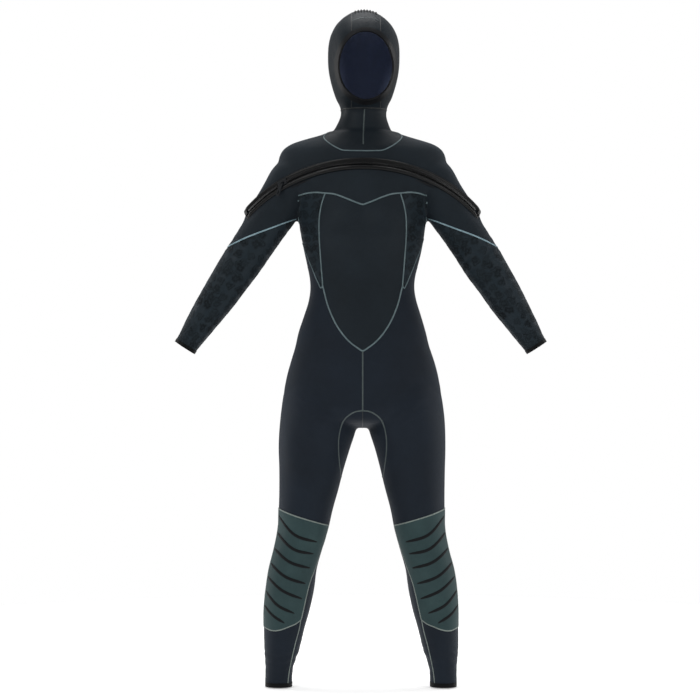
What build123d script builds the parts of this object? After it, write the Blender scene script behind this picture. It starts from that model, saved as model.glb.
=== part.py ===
"""Full wetsuit: a hooded neoprene suit with a zip across the shoulders.

The suit stands as on a wearer, arms held out from the sides: +Z up, front towards -Y,
millimetres. The origin is on the level of the ankle hems, midway between the legs.
"""

import math
import os

from build123d import *

os.makedirs("parts", exist_ok=True)

# --- Driving dimensions ---

SKIN = 6.0  # thickness of the body neoprene
SEAL = 1.6  # thickness of the smooth inner seals
GAP = 0.4  # air between a seal and the skin it lies against
ANKLE_GAP = 1.5  # air round the ankle seals, which lie straight inside a leaning calf
RIB_GAP = 0.1  # glue line under the raised ribs of the knees
REACH = 260.0  # longer than half the suit's depth, for cuts through front or back
SIDE_Y = 8.0  # where the front panels meet the back panels

# Torso, from crotch to collar: height, half width, half depth, middle of the depth
TORSO = [
    (612, 46, 52, 14),
    (636, 106, 84, 15),
    (660, 158, 108, 15),
    (690, 185, 118, 15),
    (731, 180, 118, 13),
    (779, 168, 112, 8),
    (845, 152, 105, 3),
    (900, 134, 98, 1),
    (945, 125, 95, 0),
    (997, 130, 102, -2),
    (1040, 139, 113, -7),
    (1085, 147, 122, -12),
    (1135, 152, 119, -6),
    (1190, 180, 108, 1),
    (1244, 196, 97, 4),
    (1282, 184, 88, 9),
    (1301, 148, 79, 11),
    (1318, 84, 72, 12),
]

# Arm: the line of the sleeve in the frontal plane, measured upwards from the wrist
WRIST = Vector(420, 0, 808)
ARM_ANGLE = 33.1  # degrees away from straight down
SLEEVE = [  # distance above the wrist, half width across the front, half depth
    (310, 48, 50),
    (345, 49, 54),
    (385, 54, 60),
    (430, 60, 67),
    (470, 62, 71),
    (508, 54, 64),
]
ELBOW = [(190, 45.5, 47), (235, 48, 49.5), (285, 47.5, 49.5), (310, 48, 50)]
FOREARM = [(14, 29, 30), (60, 34, 36), (120, 41, 42), (190, 45.5, 47)]
WRIST_R = 29.0  # outside of the round wrist cuff
WRIST_CUFF = 14.0  # length of the wrist cuff

# Leg: height, distance from the middle, half width, half depth, middle of the depth
THIGH_TOP = [
    (480, 126, 72, 86, 12),
    (565, 113, 83, 97, 12),
    (613, 104, 89, 106, 13),
    (660, 99, 88, 112, 15),
    (700, 94, 82, 107, 15),
    (740, 86, 70, 92, 13),
]
THIGH = [(372, 140, 60.5, 69.5, 7), (400, 136, 62, 73, 8), (480, 126, 72, 86, 12)]
KNEE = [(142, 183, 49.5, 57, 12), (215, 173, 56, 64, 13), (280, 163, 57, 61, 6),
        (328, 150, 57.5, 64, 5), (355, 143, 59.5, 68, 6), (400, 136, 62, 73, 8)]
CALF = [(14, 196, 32, 33, 8), (43, 194, 33, 37, 9), (90, 189, 42, 47, 11),
        (142, 183, 49.5, 57, 12), (195, 176, 55, 62.5, 13)]
ANKLE_R = 32.0  # outside of the round ankle cuff
ANKLE_CUFF = 14.0
PAD_LOW, PAD_HIGH = 142.0, 400.0  # knee pad, in front
BACK_LOW, BACK_HIGH = 195.0, 372.0  # soft panel behind the knee
PAD_PROUD = 2.0  # how far the pad's rubber stands out
RIB_COUNT = 7
RIB_PITCH = 33.0
RIB_WIDTH = 7.0
RIB_TILT = 24.0  # degrees, falling towards the inside of the leg

# Hood and collar: height, half width, half depth, middle of the depth
COLLAR = [(1318, 70, 71, 13), (1345, 57, 62, 15), (1372, 54, 62, 16)]
HOOD = [
    (1372, 54, 62, 16),
    (1388, 59, 75, 10),
    (1410, 71, 94, 3),
    (1444, 80, 108, 0),
    (1490, 85.5, 114, 0),
    (1529, 84, 113, 2),
    (1558, 76, 103, 4),
    (1586, 57, 80, 6),
    (1603, 34, 50, 7),
    (1612, 12, 20, 7),
]
FACE_X, FACE_Z = 6.0, 1477.0  # middle of the face opening
FACE_WIDTH, FACE_HEIGHT = 122.0, 150.0
RIM = 9.0  # width of the smooth face seal
STRIP = 30.0  # half width of the strip over the crown
CROWN_RIBS = 8
CROWN_RIB_PITCH = 7.0

# Zip: an arc in one sloping plane, over the chest and both shoulders
ZIP_MIDDLE = Vector(0, 96, 955)
ZIP_R = 343.8
ZIP_SLOPE = 56.2  # degrees that the top of the arc leans above the horizontal
ZIP_SPAN = 54.0  # degrees to each side
ZIP_LEAN = 22.0  # degrees that the tape leans forward of the arc's radius
CHANNEL = 22.0  # half width of the opening that the zip closes
TAPE = 2.0
TOOTH_PITCH = 5.0
TOOTH_WIDE = 1.9
SLIDER_AT = -33.0  # degrees from the middle, towards the suit's right arm
SLIDER_LONG = 24.0
SLIDER_HALF = 9.0
PIN_R = 2.0
PULL_LONG = 32.0

# Seams of the front, as half outlines: distance from the middle, height
HEART_TOP = [(0, 1142), (19, 1149), (45, 1160), (85, 1171)]
CUP_TOP = [(85, 1171), (115, 1173), (160, 1169), (205, 1160)]
PRINCESS = [(85, 1171), (99, 1123), (101, 1077), (97, 1020), (93, 954)]
SIDE_SEAM = [(205, 1092), (148, 1078), (127, 1016), (100, 947)]
VEE = [(93, 954), (78, 898), (57, 856), (30, 822), (0, 799)]
ARMHOLE = [(153, 1138), (262, 1206), (520, 1206), (520, 700), (230, 940), (160, 1088)]
GUSSET_HALF, GUSSET_TOP = 52.0, 660.0
YOKE_SEAM = 1190.0  # height of the seam below the back yoke
ABOVE = 1400.0  # a height clear above the torso, for cutters
LUMBAR, SEAT_TOP = 1000.0, 800.0  # heights of the seams across the back
THIGH_SEAM = 600.0  # where the torso ends and the soft tops of the thighs begin

FRONT = Plane.XZ.offset(-SIDE_Y)


# --- Shapes that several pieces share ---


def form(rings, inset=0.0):
    """Solid through elliptical rings, each a plane with a half width and a half depth."""
    with BuildPart() as solid:
        for plane, half_width, half_depth in rings:
            with BuildSketch(plane):
                Ellipse(half_width - inset, half_depth - inset)
        loft()
    return solid.part


def upright(levels, side=0):
    """Rings of the torso or hood (side 0) or of a leg, on level planes."""
    if side == 0:
        return [(Plane((0, y, z)), a, d) for z, a, d, y in levels]
    return [(Plane((side * x, y, z)), a, d) for z, x, a, d, y in levels]


def arm_plane(side, up):
    """Plane across the sleeve at a distance above the wrist, facing up the arm."""
    lean = math.radians(ARM_ANGLE)
    along = Vector(-side * math.sin(lean), 0, math.cos(lean))
    middle = Vector(side * WRIST.X, WRIST.Y, WRIST.Z) + along * up
    return Plane(middle, x_dir=Vector(math.cos(lean), 0, side * math.sin(lean)), z_dir=along)


def sleeve_rings(side, levels):
    return [(arm_plane(side, up), a, d) for up, a, d in levels]


def longer(rings, low=0.0, high=0.0):
    """The same rings with the first moved down and the last moved up, along their planes."""
    first, last = rings[0], rings[-1]
    ends = [(first[0].offset(-low), first[1], first[2])] if low else [first]
    tail = [(last[0].offset(high), last[1], last[2])] if high else [last]
    return ends + rings[1:-1] + tail


def tube(rings, thick=SKIN, inset=0.0):
    """Open tube of one thickness through the rings."""
    with BuildPart() as shell:
        add(form(rings, inset))
        add(form(longer(rings, 0.5, 0.5), inset + thick), mode=Mode.SUBTRACT)
    return shell.part


def half_outline(*seams):
    """Closed front-view face whose right half follows the given seams, mirrored."""
    with BuildSketch(Plane.XZ) as face:
        with BuildLine():
            for seam in seams:
                Spline(*seam)
            mirror(about=Plane.YZ)
        make_face()
    return face.sketch


def through(sketch_face, start=SIDE_Y, depth=REACH):
    """Prism of a front-view face, from start towards the front."""
    moved = Pos(0, start, 0) * sketch_face
    return extrude(moved, amount=depth, dir=(0, -1, 0), mode=Mode.PRIVATE)


def slab(low, high, y_low=-REACH, y_high=REACH):
    """Wide block between two heights, for cutting a piece to length."""
    block = Box(1200, y_high - y_low, high - low, mode=Mode.PRIVATE)
    return Pos(0, (y_low + y_high) / 2, (low + high) / 2) * block


def save(piece, name):
    piece.label = name
    export_step(piece, f"parts/{name}.step")


def zip_plane(turn):
    """Plane across the zip: x to the upper side, y outwards, z along the zip to the left arm."""
    slope, lean, angle = (math.radians(v) for v in (ZIP_SLOPE, ZIP_LEAN, turn))
    top = Vector(0, -math.cos(slope), math.sin(slope))
    radius = top * math.cos(angle) + Vector(1, 0, 0) * math.sin(angle)
    along = Vector(1, 0, 0) * math.cos(angle) - top * math.sin(angle)
    down = Vector(0, -math.sin(slope), -math.cos(slope))
    across = radius * math.sin(lean) - down * math.cos(lean)
    return Plane(ZIP_MIDDLE + radius * ZIP_R, x_dir=across, z_dir=along)


ZIP_AXIS = Axis(
    ZIP_MIDDLE,
    (0, math.sin(math.radians(ZIP_SLOPE)), math.cos(math.radians(ZIP_SLOPE))),
)


def zip_band(x_low, x_high, y_low, y_high, span=ZIP_SPAN):
    """Band of rectangular section that follows the zip."""
    with BuildPart() as band:
        with BuildSketch(zip_plane(-span)):
            with Locations(((x_low + x_high) / 2, (y_low + y_high) / 2)):
                Rectangle(x_high - x_low, y_high - y_low)
        revolve(axis=ZIP_AXIS, revolution_arc=2 * span)
    return band.part


def zip_block(turn, x_low, x_high, y_low, y_high, long):
    """Straight block lying along the zip at one place."""
    place = zip_plane(turn).location
    middle = Pos((x_low + x_high) / 2, (y_low + y_high) / 2, 0)
    return place * middle * Box(x_high - x_low, y_high - y_low, long, mode=Mode.PRIVATE)


# --- Skin of the torso with the sleeves and the tops of the thighs ---

SIDES = {"right": -1, "left": 1}  # the wearer's own sides; the front faces -Y


def trunk(inset=0.0):
    """Outside of the torso, upper sleeves and thigh tops, or the inside with an inset."""
    torso_rings = upright(TORSO)
    with BuildPart() as solid:
        if inset:
            lifted = [(torso_rings[0][0].offset(inset), *TORSO[0][1:3])] + torso_rings[1:]
            add(form(longer(lifted, 0, 4), inset))
        else:
            add(form(torso_rings))
        for side in SIDES.values():
            clear = 4 if inset else 0
            add(form(longer(sleeve_rings(side, SLEEVE), clear), inset))
            add(form(longer(upright(THIGH_TOP, side), clear), inset))
    return solid.part


zip_channel = zip_band(-CHANNEL, CHANNEL, -45, 45, ZIP_SPAN + 2)
pull_clearance = zip_band(-CHANNEL - 20, -CHANNEL - 0.5, 4.5, 40, ZIP_SPAN)

with BuildPart() as trunk_skin:
    add(trunk())
    add(trunk(SKIN), mode=Mode.SUBTRACT)

armholes = {}
for name, side in SIDES.items():
    with BuildSketch(Plane.XZ) as armhole:
        with BuildLine():
            Polyline(*[(side * x, z) for x, z in ARMHOLE], close=True)
        make_face()
    armholes[name] = through(armhole.sketch, REACH, 2 * REACH)

with BuildPart() as torso_skin:
    add(trunk_skin.part)
    add(slab(THIGH_SEAM, ABOVE), mode=Mode.INTERSECT)
    for armhole in armholes.values():
        add(armhole, mode=Mode.SUBTRACT)

with BuildPart() as front_skin:
    add(torso_skin.part)
    add(slab(0, 1600, -REACH, SIDE_Y), mode=Mode.INTERSECT)
    add(zip_channel, mode=Mode.SUBTRACT)
    add(pull_clearance, mode=Mode.SUBTRACT)

with BuildPart() as back_skin:
    add(torso_skin.part)
    add(slab(0, 1600, SIDE_Y, REACH), mode=Mode.INTERSECT)

# --- Front panels ---

heart = through(half_outline(HEART_TOP, PRINCESS, VEE))
top_line = half_outline(
    HEART_TOP, CUP_TOP, [CUP_TOP[-1], (300, 1160)], [(300, 1160), (300, ABOVE)], [(300, ABOVE), (0, ABOVE)]
)
above_seam = through(top_line)
side_panels = {}
for name, side in SIDES.items():
    with BuildSketch(Plane.XZ) as side_panel:
        with BuildLine():
            for seam in (PRINCESS, CUP_TOP, SIDE_SEAM):
                Spline(*[(side * x, z) for x, z in seam])
            Line((side * CUP_TOP[-1][0], CUP_TOP[-1][1]), (side * SIDE_SEAM[0][0], SIDE_SEAM[0][1]))
            Line((side * PRINCESS[-1][0], PRINCESS[-1][1]), (side * SIDE_SEAM[-1][0], SIDE_SEAM[-1][1]))
        make_face()
    side_panels[name] = through(side_panel.sketch)

with BuildSketch(Plane.XZ) as arch:
    with BuildLine():
        Line((-GUSSET_HALF, THIGH_SEAM - 20), (-GUSSET_HALF, THIGH_SEAM + 20))
        Spline(
            (-GUSSET_HALF, THIGH_SEAM + 20), (0, GUSSET_TOP), (GUSSET_HALF, THIGH_SEAM + 20),
            tangents=((0, 1), (0, -1)),
        )
        Line((GUSSET_HALF, THIGH_SEAM + 20), (GUSSET_HALF, THIGH_SEAM - 20))
        Line((GUSSET_HALF, THIGH_SEAM - 20), (-GUSSET_HALF, THIGH_SEAM - 20))
    make_face()
gusset_cut = through(arch.sketch, REACH, 2 * REACH)

with BuildPart() as bodice:
    add(front_skin.part)
    add(heart, mode=Mode.INTERSECT)
save(bodice.part, "bodice_centre")

with BuildPart() as upper_front:
    add(front_skin.part)
    add(above_seam, mode=Mode.INTERSECT)
by_height = upper_front.part.solids().sort_by(Axis.Z)
with BuildPart() as yoke_front:
    add(by_height[-1])
save(yoke_front.part, "yoke_front")
with BuildPart() as chest_upper:
    add(by_height[0])
save(chest_upper.part, "chest_upper")

with BuildPart() as front_rest:
    add(front_skin.part)
    for taken in (heart, above_seam, gusset_cut, *side_panels.values()):
        add(taken, mode=Mode.SUBTRACT)

for name, side in SIDES.items():
    with BuildPart() as side_chest:
        add(front_skin.part)
        add(side_panels[name], mode=Mode.INTERSECT)
    save(side_chest.part, f"side_chest_{name}")
    with BuildPart() as front_side:
        add(front_rest.part)
        split(bisect_by=Plane.YZ, keep=Keep.TOP if side > 0 else Keep.BOTTOM)
    save(front_side.part, f"front_side_{name}")

# --- Back panels and gusset ---

with BuildPart() as gusset:
    add(torso_skin.part)
    add(gusset_cut, mode=Mode.INTERSECT)
save(gusset.part, "gusset")

for name, low, high in (
    ("yoke_back", YOKE_SEAM, ABOVE),
    ("back_upper", LUMBAR, YOKE_SEAM),
    ("back_lumbar", SEAT_TOP, LUMBAR),
    ("seat", THIGH_SEAM - 10, SEAT_TOP),
):
    with BuildPart() as back_panel:
        add(back_skin.part)
        add(slab(low, high), mode=Mode.INTERSECT)
        add(gusset_cut, mode=Mode.SUBTRACT)
    save(back_panel.part, name)

# --- Arms ---

for name, side in SIDES.items():
    with BuildPart() as upper_sleeve:
        add(trunk_skin.part)
        add(armholes[name], mode=Mode.INTERSECT)
        add(zip_channel, mode=Mode.SUBTRACT)
        add(pull_clearance, mode=Mode.SUBTRACT)
    save(upper_sleeve.part, f"upper_sleeve_{name}")

    with BuildPart() as elbow:
        add(tube(sleeve_rings(side, ELBOW)))
    save(elbow.part, f"elbow_{name}")

    with BuildPart() as forearm:
        add(tube(sleeve_rings(side, FOREARM)))
    save(forearm.part, f"forearm_{name}")

    with BuildPart() as wrist_cuff:
        with BuildSketch(arm_plane(side, 0)):
            Circle(WRIST_R)
            Circle(WRIST_R - SKIN, mode=Mode.SUBTRACT)
        extrude(amount=WRIST_CUFF)
    save(wrist_cuff.part, f"wrist_cuff_{name}")

    seal_r = WRIST_R - SKIN - GAP
    with BuildPart() as wrist_seal:
        for up, radius in ((2.0, seal_r), (2.0 + 3 * WRIST_CUFF, seal_r)):
            with BuildSketch(arm_plane(side, up)):
                Circle(radius)
        loft()
        for up, radius in ((1.0, seal_r - SEAL), (3.0 + 3 * WRIST_CUFF, seal_r - SEAL)):
            with BuildSketch(arm_plane(side, up)):
                Circle(radius)
        loft(mode=Mode.SUBTRACT)
    save(wrist_seal.part, f"wrist_seal_{name}")

# --- Legs ---


def knee_ribs(side, pad_rings):
    """Raised diagonal ribs on the face of a knee pad."""
    mid_x = side * KNEE[2][1]
    with BuildPart() as ribs:
        add(form(pad_rings, -PAD_PROUD - 1.5))
        add(form(longer(pad_rings, 0.5, 0.5), -PAD_PROUD - RIB_GAP), mode=Mode.SUBTRACT)
        add(slab(PAD_LOW + 14, PAD_HIGH - 14, -REACH, SIDE_Y - 18), mode=Mode.INTERSECT)
        with BuildSketch(Plane.XZ):
            with Locations(*[
                (mid_x + side * (count - 3) * -4, PAD_LOW + 30 + count * RIB_PITCH)
                for count in range(RIB_COUNT)
            ]):
                Rectangle(140, RIB_WIDTH, rotation=side * RIB_TILT)
        extrude(amount=REACH, mode=Mode.INTERSECT)
    return ribs.part


for name, side in SIDES.items():
    with BuildPart() as thigh_top:
        add(trunk_skin.part)
        add(slab(400, THIGH_SEAM), mode=Mode.INTERSECT)
        keep = Keep.TOP if side > 0 else Keep.BOTTOM
        split(bisect_by=Plane.YZ, keep=keep)
    save(thigh_top.part, f"thigh_top_{name}")

    thigh = tube(upright(THIGH, side))
    with BuildPart() as thigh_front:
        add(thigh)
        add(slab(PAD_HIGH, 700, -REACH, SIDE_Y), mode=Mode.INTERSECT)
    save(thigh_front.part, f"thigh_front_{name}")
    with BuildPart() as thigh_back:
        add(thigh)
        add(slab(BACK_HIGH, 700, SIDE_Y, REACH), mode=Mode.INTERSECT)
    save(thigh_back.part, f"thigh_back_{name}")

    knee_rings = upright(KNEE, side)
    with BuildPart() as knee_pad:
        add(form(knee_rings, -PAD_PROUD))
        add(form(longer(knee_rings, 0.5, 0.5), SKIN), mode=Mode.SUBTRACT)
        add(slab(PAD_LOW, PAD_HIGH, -REACH, SIDE_Y), mode=Mode.INTERSECT)
    save(knee_pad.part, f"knee_pad_{name}")
    save(knee_ribs(side, knee_rings), f"knee_ribs_{name}")

    with BuildPart() as knee_back:
        add(tube(knee_rings))
        add(slab(BACK_LOW, BACK_HIGH, SIDE_Y, REACH), mode=Mode.INTERSECT)
    save(knee_back.part, f"knee_back_{name}")

    with BuildPart() as calf:
        add(tube(upright(CALF, side)))
        add(slab(PAD_LOW, 700, -REACH, SIDE_Y), mode=Mode.SUBTRACT)
    save(calf.part, f"calf_{name}")

    ankle_plane = Plane((side * CALF[0][1], CALF[0][4], 0))
    with BuildPart() as ankle_cuff:
        with BuildSketch(ankle_plane):
            Circle(ANKLE_R)
            Circle(ANKLE_R - SKIN, mode=Mode.SUBTRACT)
        extrude(amount=ANKLE_CUFF)
    save(ankle_cuff.part, f"ankle_cuff_{name}")

    with BuildPart() as ankle_seal:
        with BuildSketch(ankle_plane.offset(2)):
            Circle(ANKLE_R - SKIN - ANKLE_GAP)
            Circle(ANKLE_R - SKIN - ANKLE_GAP - SEAL, mode=Mode.SUBTRACT)
        extrude(amount=3 * ANKLE_CUFF)
    save(ankle_seal.part, f"ankle_seal_{name}")

# --- Collar and hood ---

with BuildPart() as collar:
    add(tube(upright(COLLAR)))
save(collar.part, "collar")

with BuildPart() as neck_seal:
    add(tube(upright(COLLAR), SEAL, SKIN + GAP))
save(neck_seal.part, "neck_seal")

hood_rings = upright(HOOD)
hood_inside = hood_rings[:-1] + [(hood_rings[-1][0].offset(-SKIN), 13, 21)]
with BuildPart() as hood_skin:
    add(form(hood_rings))
    add(form(longer(hood_inside, 0.5), SKIN), mode=Mode.SUBTRACT)


def face_prism(margin):
    """Prism through the front of the hood, the face opening plus a margin all round."""
    with BuildPart() as prism:
        with BuildSketch(FRONT):
            with Locations((FACE_X, FACE_Z)):
                Ellipse(FACE_WIDTH / 2 + margin, FACE_HEIGHT / 2 + margin)
        extrude(amount=REACH)
    return prism.part


with BuildPart() as face_rim:
    add(hood_skin.part)
    add(face_prism(RIM), mode=Mode.INTERSECT)
    add(face_prism(0), mode=Mode.SUBTRACT)
save(face_rim.part, "face_rim")

with BuildPart() as hood_open:
    add(hood_skin.part)
    add(face_prism(RIM), mode=Mode.SUBTRACT)

with BuildPart() as hood_strip:
    add(hood_open.part)
    with BuildSketch(Plane.XZ.offset(-REACH)):
        with Locations((0, 1480)):
            Rectangle(2 * STRIP, 400)
    extrude(amount=2 * REACH, mode=Mode.INTERSECT)
strip_pieces = hood_strip.part.solids().sort_by(SortBy.VOLUME)
with BuildPart() as hood_crown:
    add(strip_pieces[-1])
save(hood_crown.part, "hood_crown")
with BuildPart() as hood_chin:
    add(strip_pieces[0])
save(hood_chin.part, "hood_chin")

for name, side in SIDES.items():
    with BuildPart() as hood_side:
        add(hood_open.part)
        keep = Keep.TOP if side > 0 else Keep.BOTTOM
        split(bisect_by=Plane.YZ.offset(side * STRIP), keep=keep)
    save(hood_side.part, f"hood_{name}")

with BuildPart() as crown_ribs:
    add(form(hood_rings, -2.5))
    add(form(hood_rings), mode=Mode.SUBTRACT)
    add(slab(1560, 1611, -48, 55), mode=Mode.INTERSECT)
    with BuildSketch(Plane.XY.offset(1500)):
        with GridLocations(CROWN_RIB_PITCH, 1, CROWN_RIBS, 1):
            Rectangle(CROWN_RIB_PITCH / 2, 200)
    extrude(amount=200, mode=Mode.INTERSECT)
save(crown_ribs.part, "crown_ribs")

# --- Zip ---

with BuildPart() as tape_upper:
    add(zip_band(4, CHANNEL, -TAPE / 2, TAPE / 2))
save(tape_upper.part, "zip_tape_upper")

with BuildPart() as tape_lower:
    add(zip_band(-CHANNEL, -4, -TAPE / 2, TAPE / 2))
save(tape_lower.part, "zip_tape_lower")

with BuildPart() as underlap:
    add(zip_band(-CHANNEL + 2, CHANNEL - 2, -10, -8, ZIP_SPAN - 1))
save(underlap.part, "zip_underlap")

tooth_step = math.degrees(TOOTH_PITCH / ZIP_R)
tooth_count = int(2 * (ZIP_SPAN - 3) / tooth_step)
first_tooth = -tooth_count / 2 * tooth_step
for name, x_low, x_high, shift in (("upper", -1.5, 3.8, 0.0), ("lower", -3.8, 1.5, 0.5)):
    with BuildPart() as teeth:
        for number in range(tooth_count):
            turn = first_tooth + (number + shift) * tooth_step
            add(zip_block(turn, x_low, x_high, -1.4, 1.4, TOOTH_WIDE))
    save(teeth.part, f"zip_teeth_{name}")

for name, side in SIDES.items():
    with BuildPart() as zip_stop:
        add(zip_block(side * (ZIP_SPAN - 1), -8, 8, 1.1, 4, 9))
        fillet(zip_stop.edges().group_by(Axis.Z)[-1], 0.8)
    save(zip_stop.part, f"zip_stop_{name}")

slider_plane = zip_plane(SLIDER_AT)
with BuildPart() as slider:
    with BuildSketch(slider_plane.offset(-SLIDER_LONG / 2)):
        with Locations((0, 3.6)):
            Rectangle(2 * SLIDER_HALF, 3.6)
        with Locations((0, 2.6)):
            Rectangle(2 * SLIDER_HALF - 5, 1.8, mode=Mode.SUBTRACT)
        with Locations((0, -3.2)):
            Rectangle(2 * SLIDER_HALF, 2)
    extrude(amount=SLIDER_LONG)
    stud_plane = Plane(
        slider_plane.from_local_coords((0, 5.3, 0)),
        x_dir=slider_plane.x_dir,
        z_dir=slider_plane.y_dir,
    )
    with BuildSketch(stud_plane):
        Circle(PIN_R)
    extrude(amount=4.4)
    with BuildSketch(stud_plane.offset(3.4)):
        Circle(PIN_R + 1.4)
    extrude(amount=1.2)
save(slider.part, "zip_slider")

# The pull hangs straight down from its stud, as seen along the stud
down = Vector(0, 0, -1)
pull_dir = down - stud_plane.z_dir * down.dot(stud_plane.z_dir)
pull_plane = Plane(stud_plane.origin, x_dir=pull_dir, z_dir=stud_plane.z_dir)
with BuildPart() as pull:
    with BuildSketch(pull_plane.offset(0.4)):
        with Locations((PULL_LONG / 2, 0)):
            SlotCenterToCenter(PULL_LONG, 10)
        Circle(PIN_R + 0.06, mode=Mode.SUBTRACT)
        with Locations((PULL_LONG - 4, 0)):
            SlotCenterToCenter(6, 3.4, mode=Mode.SUBTRACT)
    extrude(amount=2.6)
save(pull.part, "zip_pull")

if __name__ == "__main__":
    print("zip axis", ZIP_AXIS.direction, "slider", slider_plane.origin)
    print("stud", stud_plane.origin, stud_plane.z_dir)
    for side_name, side_sign in SIDES.items():
        print("elbow", side_name, arm_plane(side_sign, 250).origin, arm_plane(side_sign, 250).x_dir)
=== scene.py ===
"""Looks of a hooded full wetsuit: one shaped skin, cut along its seams into sewn panels,
with piping on the seams, embossed panels, ribbed knees and a zip across the shoulders."""

import math

import bmesh
import bpy
import numpy as np
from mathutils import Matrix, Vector
from mathutils.bvhtree import BVHTree


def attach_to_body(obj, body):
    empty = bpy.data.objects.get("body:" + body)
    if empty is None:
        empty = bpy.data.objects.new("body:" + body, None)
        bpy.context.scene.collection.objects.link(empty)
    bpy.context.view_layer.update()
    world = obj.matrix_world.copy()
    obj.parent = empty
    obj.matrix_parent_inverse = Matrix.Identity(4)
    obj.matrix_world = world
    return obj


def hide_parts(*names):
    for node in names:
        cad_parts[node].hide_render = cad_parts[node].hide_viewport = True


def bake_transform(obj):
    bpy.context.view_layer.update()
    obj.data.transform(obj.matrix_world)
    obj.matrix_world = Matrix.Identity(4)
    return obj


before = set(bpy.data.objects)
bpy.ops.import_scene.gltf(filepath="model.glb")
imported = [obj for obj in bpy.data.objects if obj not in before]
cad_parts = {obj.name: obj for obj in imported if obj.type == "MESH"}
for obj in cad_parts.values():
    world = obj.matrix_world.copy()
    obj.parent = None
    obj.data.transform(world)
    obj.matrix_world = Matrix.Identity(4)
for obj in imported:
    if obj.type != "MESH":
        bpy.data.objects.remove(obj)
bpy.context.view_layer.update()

MM = 0.001
VOXEL = 4.6  # mesh size of the skin, in mm
THICK = 5.0  # of the neoprene, in mm
SNAP = 0.35  # mm; a point this near to a seam lies on it
PAD_LIFT, CUFF_LIFT, CUFF_THICK = 1.2, 0.9, 6.2  # of knee pads and of wrist and ankle bands, in mm
SIDES = {"right": -1, "left": 1}  # the wearer's own sides; the front faces -Y

# --- Rings of the body, in millimetres, as in part.py but with front and back apart ---

# height, half width, front, back
TORSO = [
    (618, 14, 22, 42), (624, 54, 50, 78), (637, 134, 86, 118), (660, 182, 102, 135),
    (690, 187.5, 105, 139), (731, 182, 107, 134), (779, 169.5, 105, 121), (808, 160.5, 102, 112),
    (845, 152, 100, 106), (883, 140, 97, 100), (921, 128.5, 95, 96), (950, 124.5, 95, 94),
    (975, 126, 97, 97), (997, 130.5, 102, 100), (1035, 139, 113, 105), (1073, 146, 124, 109),
    (1100, 150, 125, 111), (1135, 153, 118, 112), (1165, 165, 112, 111), (1190, 180, 106, 109),
    (1220, 193, 99, 105), (1244, 200, 93, 101), (1265, 197, 86, 98), (1282, 186, 79, 96),
    (1294, 166, 71, 94), (1304, 134, 65, 92), (1314, 98, 60, 90), (1322, 78, 56, 86),
]
# height, distance from the middle, half width, half depth, middle of the depth
LEG = [
    (-14, 196, 31, 32, 8), (14, 196, 31.5, 33, 8), (43, 195, 32, 37, 9), (90, 189, 41.5, 47, 11),
    (138, 183.5, 48, 56, 13), (185, 177, 54.6, 63, 14), (233, 170, 57.5, 63, 11),
    (280, 163, 57.5, 61, 6), (328, 150, 57.5, 64, 5), (375, 139, 59.5, 69, 7),
    (420, 134, 64, 76, 9), (470, 127, 70.5, 83, 11), (520, 121, 77, 91, 12),
    (565, 115, 84.5, 98, 13), (613, 107, 91, 107, 14), (660, 102, 92, 114, 16),
    (700, 99, 88.5, 108, 16), (745, 92, 78, 94, 13),
]
# distance above the wrist along the sleeve, half width, half depth
ARM = [
    (-14, 27, 29), (14, 28, 30), (60, 34, 36), (120, 41, 42), (190, 45.5, 47), (235, 48, 49.5),
    (285, 48.5, 50), (320, 49.5, 52), (350, 50.5, 55), (390, 53.5, 60), (430, 57, 66),
    (470, 60, 69), (508, 53, 60),
]
# height, half width, half depth, middle of the depth
HEAD = [
    (1286, 88, 62, 14), (1302, 82, 64, 14), (1316, 76, 65, 14), (1330, 67, 64, 14),
    (1344, 60.5, 62, 15), (1358, 55.5, 61, 16), (1373, 54.6, 62, 16), (1387, 58.5, 76, 10),
    (1400, 66, 90, 4), (1415, 71.5, 99, 1), (1444, 79.6, 108, 0), (1472, 84.3, 112, 0),
    (1501, 85.5, 113, 0), (1529, 84, 112, 2), (1558, 76, 103, 4), (1586, 57.5, 80, 6),
    (1602, 37, 54, 7), (1610, 19, 28, 7), (1612.5, 6, 10, 7),
]
WRIST_X, WRIST_Z = 420.0, 808.0
ARM_LEAN = math.radians(33.1)

# --- Seams, in millimetres, as front-view half outlines: distance from the middle, height ---

HEART = [(0, 1142), (19, 1149), (45, 1160), (68, 1168), (88, 1170.5)]
CUP_TOP = [(88, 1170.5), (115, 1173), (134, 1171), (151.5, 1167)]
PRINCESS = [(88, 1170.5), (96, 1146), (101, 1118), (102, 1077), (99, 1022), (94, 954)]
SIDE_SEAM = [(152, 1118), (150, 1090), (146, 1068), (137, 1040), (126, 1012), (108, 968), (98, 946)]
VEE = [(94, 954), (80, 902), (60, 859), (33, 824), (0, 799)]
# Straight-sided outline that holds the whole sleeve
ARMHOLE = [(153, 1138), (262, 1206), (520, 1206), (520, 700), (230, 940), (160, 1088)]
SLEEVE_SEAM = [(190, 1101), (218, 1090), (248, 1079), (279, 1067), (312, 1052), (345, 1038)]
GUSSET = [(0, 661), (14, 659.5), (28, 653), (42, 641), (51, 621), (56, 594), (56.5, 567),
          (53.5, 530), (50, 500)]
PAD_TOP = [(79, 386.5), (120, 400), (160, 412.5), (200, 426), (240, 436)]
PAD_INNER = [(79, 386.5), (88, 350), (100, 315), (112, 280), (121, 256), (130, 222),
             (137, 190), (143, 164)]
PAD_BOTTOM = [(143, 164), (155, 155), (170, 149), (190, 141), (210, 138), (228, 143), (260, 155)]
SHIN_SEAM = [(143, 164), (148, 138), (156, 108), (165, 70), (171, 40), (175, 6)]
YOKE_BACK, LUMBAR, SEAT = 1190.0, 1000.0, 800.0
KNEE_LOW, KNEE_HIGH = 180.0, 384.0
SIDE_Y = 8.0  # where front and back meet
NECKLINE = 1375.0
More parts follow.
